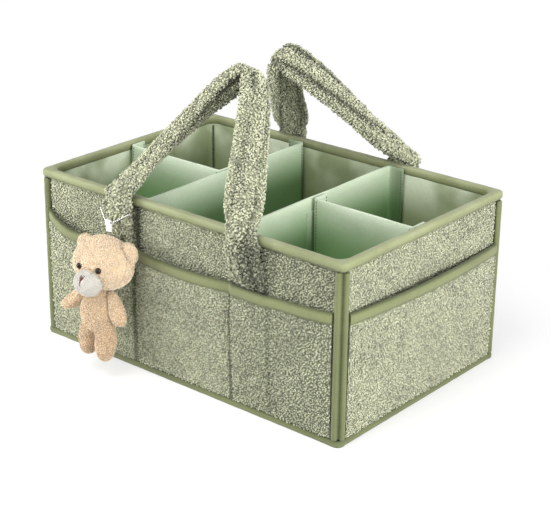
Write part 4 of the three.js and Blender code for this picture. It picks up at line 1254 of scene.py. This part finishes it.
class CADDY_OT_pendant(bpy.types.Operator):
    """Thread the ball chain and the ribbon that the bear hangs from"""

    bl_idname = "caddy.pendant"
    bl_label = "Chain and ribbon"

    def execute(self, context):
        chain = copied("bead_chain", "ball_chain")
        smooth(chain, 80)
        placed(chain, "chain", "root", "chain_steel", "ball_chain")
        ribbon = copied("white_ribbon", "ribbon_tab")
        rounded(ribbon, 0.0001)
        smooth(ribbon)
        placed(ribbon, "ribbon", "ribbon", "ribbon", "ribbon_tab")
        return {"FINISHED"}


class CADDY_OT_bear(bpy.types.Operator):
    """Stuff the little bear: head, muzzle, ears, arms, legs, eyes and nose"""

    bl_idname = "caddy.bear"
    bl_label = "Bear"

    # The growth of each part, and the point that it grows about, as a share of the way to the head.
    grown = {
        "right_ear": (1.2, -0.8),
        "left_ear": (1.25, -0.35),
        "right_arm": (1.15, 0.3),
        "left_arm": (1, 0),
    }
    head_shorter = 0.06
    eye_growth = 0.2

    def execute(self, context):
        sizes = context.scene.caddy_sizes
        parts = {"head": ["head"], "body": ["body", "right_leg", "left_leg"]}
        parts.update((part, [part]) for part in self.grown)
        for seed, (part, joined) in enumerate(parts.items()):
            self.stuffed(part, [f"bear_{name}" for name in joined], sizes, 30 + seed)
        muzzle = self.muzzle(sizes)
        self.nose(surface_of(muzzle))
        for side in ("right", "left"):
            node = f"bear_{side}_eye"
            piece = copied(f"{node}_bead", node)
            middle = centre(node)
            bowed(piece, lambda point: (point - middle) * self.eye_growth)
            applied(piece, "SUBSURF", levels=2, render_levels=2)
            smooth(piece, 80)
            placed(piece, "eye", "bear", "eye", node)
        return {"FINISHED"}

    def stuffed(self, part, nodes, sizes, seed):
        """One part of plush, with its pile kept off the eyes."""
        piece = copied(f"bear_{part}_plush", *nodes)
        if part in self.grown:
            growth, share = self.grown[part]
            root = centre(nodes[0]).lerp(centre("bear_head"), share)
            bowed(piece, lambda point: (point - root) * (growth - 1))
        if part == "head":
            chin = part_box(nodes[0])[0].z
            bowed(piece, lambda point: Vector((0, 0, self.head_shorter * (chin - point.z))))
        trunk = part == "body"
        remeshed(piece, sizes.plush_curl, rounds=24 if trunk else 4)
        drawn_in(piece, sizes.plush_pile * (0.05 if trunk else 0.6))
        roughened(piece, grain=0.006, height=0.0006)
        smooth(piece, 80)

        def painted_shade(points):
            """Painted shade: the bear's body is a little darker than its head, and darkest at its feet."""
            if part in ("head", "right_ear", "left_ear"):
                return np.ones(len(points))
            return np.interp(points[:, 2], (0.05, 0.09), (0.55, 0.76))

        def off_eyes(points):
            eyes = [np.array(centre(f"bear_{side}_eye")) for side in ("right", "left")]
            near = [np.linalg.norm(points - eye, axis=1) for eye in eyes]
            return share_of(np.min(near, axis=0), 0.0030, 0.0015)

        pile = piled(piece, f"bear_{part}_pile", sizes.plush_pile, 3, seed, off_eyes, painted_shade)
        backed(piece, painted_shade, 0.30)
        placed(piece, "plush", "bear", "bear_plush", *nodes)
        placed(pile, "plush", "bear", "bear_plush")

    @staticmethod
    def muzzle(sizes):
        """The pale muzzle, with its pile kept off the nose."""
        piece = copied("bear_muzzle_plush", "bear_muzzle")
        remeshed(piece, voxel=0.0012, rounds=6)
        smooth(piece, 80)
        nose = np.array(centre("bear_nose"))

        def hold(points):
            return share_of(np.linalg.norm(points - nose, axis=1), 0.0024, 0.002)

        pile = piled(piece, "bear_muzzle_pile", sizes.plush_pile * 0.8, 3, 40, hold)
        backed(piece, share=0.35)
        placed(piece, "muzzle", "bear", "muzzle_plush", "bear_muzzle")
        placed(pile, "muzzle", "bear", "muzzle_plush")
        return piece

    @staticmethod
    def nose(tree):
        """A nose of close level stitches, each shorter than the one above, over one upright stitch."""
        low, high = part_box("bear_nose")
        middle = (low + high) / 2
        half, taper, rows, step = 0.0040, 0.8, 6, 0.0008
        top, lift = high.z + 0.0004, 0.0006
        before = -0.25
        ahead = Vector((0, -1, 0))
        lines = []
        for i in range(rows):
            reach, z = half * (1 - taper * i / (rows - 1)), top - i * step
            lines.append(((middle.x - reach, z), (middle.x + reach, z)))
        foot = top - rows * step
        lines.append(((middle.x, foot + 0.0006), (middle.x, foot - 0.0042)))
        stitches = []
        for line in lines:
            ends = [tree.ray_cast(Vector((x, before, z)), -ahead)[0] + ahead * lift for x, z in line]
            stitches.append((*ends, ahead))
        piece = threads("bear_nose_stitches", stitches, thick=0.0010)
        placed(piece, "thread", "bear", "nose_thread", "bear_nose")


class CADDY_OT_stage(bpy.types.Operator):
    """Set the camera, the lamps and the pale floor"""

    bl_idname = "caddy.stage"
    bl_label = "Stage"

    # The camera's azimuth, elevation and roll, what it looks at, and how far away it stands.
    angles = (math.radians(39.72), math.radians(22.04), 0.013)
    target = Vector((0.008195, 0, 0.10174))
    distance = 1.5432
    image_width = 550
    focal_pixels = 1553.5
    sensor = 36
    # Each lamp's place, size and watts.
    lamps = {
        "left_lamp": ((-0.58, -0.6, 0.22), 0.3, 4.0),
        "right_key_lamp": ((1.4, -0.2, 0.4), 0.6, 17),
        "top_lamp": ((0.05, -0.9, 1.5), 1.0, 15),
    }
    lamps_aim = Vector((0, 0, 0.08))
    sky_on_object = 0.66

    def execute(self, context):
        scene = context.scene
        self.camera(scene)
        bpy.ops.mesh.primitive_grid_add(x_subdivisions=2, y_subdivisions=2, size=8, location=(0, 0, -0.0002))
        floor = context.object
        floor.name = "floor"
        floor.data.materials.append(self.floor_material(tuple(scene.caddy_colours.floor)))

        scene.world = bpy.data.worlds.new("studio")
        scene.world.use_nodes = True
        sky = NodeTree(scene.world.node_tree)
        strength = sky.mapped(sky.seen(), start=0.0, stop=1.0, low=self.sky_on_object, kind="LINEAR")
        sky.fill(sky.tree.nodes["Background"], {"Color": WHITE, "Strength": strength})

        for name, (place, size, watts) in self.lamps.items():
            light = bpy.data.lights.new(name, "AREA")
            light.shape = "DISK"
            light.size = size
            light.energy = watts
            lamp = shown(name, light)
            lamp.location = place
            lamp.rotation_euler = (self.lamps_aim - Vector(place)).to_track_quat("-Z", "Y").to_euler()
        scene.view_settings.view_transform = "Standard"
        return {"FINISHED"}

    def camera(self, scene):
        azimuth, elevation, roll = self.angles
        back = Vector((
            math.sin(azimuth) * math.cos(elevation),
            -math.cos(azimuth) * math.cos(elevation),
            math.sin(elevation)))
        right = (-back).cross(Vector((0, 0, 1))).normalized()
        up = right.cross(-back)
        turned_right = right * math.cos(roll) + up * math.sin(roll)
        turned_up = up * math.cos(roll) - right * math.sin(roll)
        lens = bpy.data.cameras.new("camera")
        lens.sensor_width = self.sensor
        lens.lens = self.focal_pixels / self.image_width * self.sensor
        camera = shown("camera", lens)
        camera.matrix_world = Matrix((turned_right, turned_up, back)).transposed().to_4x4()
        camera.location = self.target + back * self.distance
        scene.camera = camera
        only(camera)

    @staticmethod
    def floor_material(colour):
        """White as far as it is seen, with the caddy's shadow kept close round it."""
        finish = Finish("studio_floor")
        finish.fill(finish.shader, {"Base Color": colour, "Roughness": 0.9})
        away = finish.add("VectorMath", {0: finish.place}, operation="LENGTH").outputs["Value"]
        far = finish.mapped(away, start=0.22, stop=0.42, low=0.5)
        share = finish.maths("MULTIPLY", far, finish.seen())
        white = finish.add("Emission")
        both = finish.add("MixShader", {0: share, 1: finish.shader.outputs[0], 2: white.outputs[0]})
        finish.fill(finish.tree.nodes["Material Output"], {"Surface": both.outputs[0]})
        return finish.material


OPERATORS = (
    CADDY_OT_stage, CADDY_OT_walls, CADDY_OT_pockets, CADDY_OT_bindings, CADDY_OT_lining,
    CADDY_OT_boards, CADDY_OT_dividers, CADDY_OT_straps, CADDY_OT_pendant, CADDY_OT_bear,
)


class CADDY_PT_panel(bpy.types.Panel):
    """The caddy's sizes, colours and pieces"""

    bl_label = "Diaper caddy"
    bl_idname = "CADDY_PT_panel"
    bl_space_type = "VIEW_3D"
    bl_region_type = "UI"
    bl_category = "Caddy"

    def draw(self, context):
        layout = self.layout
        for operator in OPERATORS:
            layout.operator(operator.bl_idname)
        for settings in (context.scene.caddy_sizes, context.scene.caddy_colours):
            box = layout.box()
            for name in settings.__annotations__:
                box.prop(settings, name)


CLASSES = (CaddySizes, CaddyColours) + OPERATORS + (CADDY_PT_panel,)


def register():
    for cls in CLASSES:
        bpy.utils.register_class(cls)
    bpy.types.Scene.caddy_sizes = bpy.props.PointerProperty(type=CaddySizes)
    bpy.types.Scene.caddy_colours = bpy.props.PointerProperty(type=CaddyColours)


def unregister():
    del bpy.types.Scene.caddy_colours
    del bpy.types.Scene.caddy_sizes
    for cls in reversed(CLASSES):
        bpy.utils.unregister_class(cls)


def main():
    register()
    scene = bpy.context.scene
    make_materials(scene.caddy_sizes, scene.caddy_colours)
    for operator in OPERATORS:
        group, name = operator.bl_idname.split(".")
        getattr(getattr(bpy.ops, group), name)()


if __name__ == "__main__":
    main()
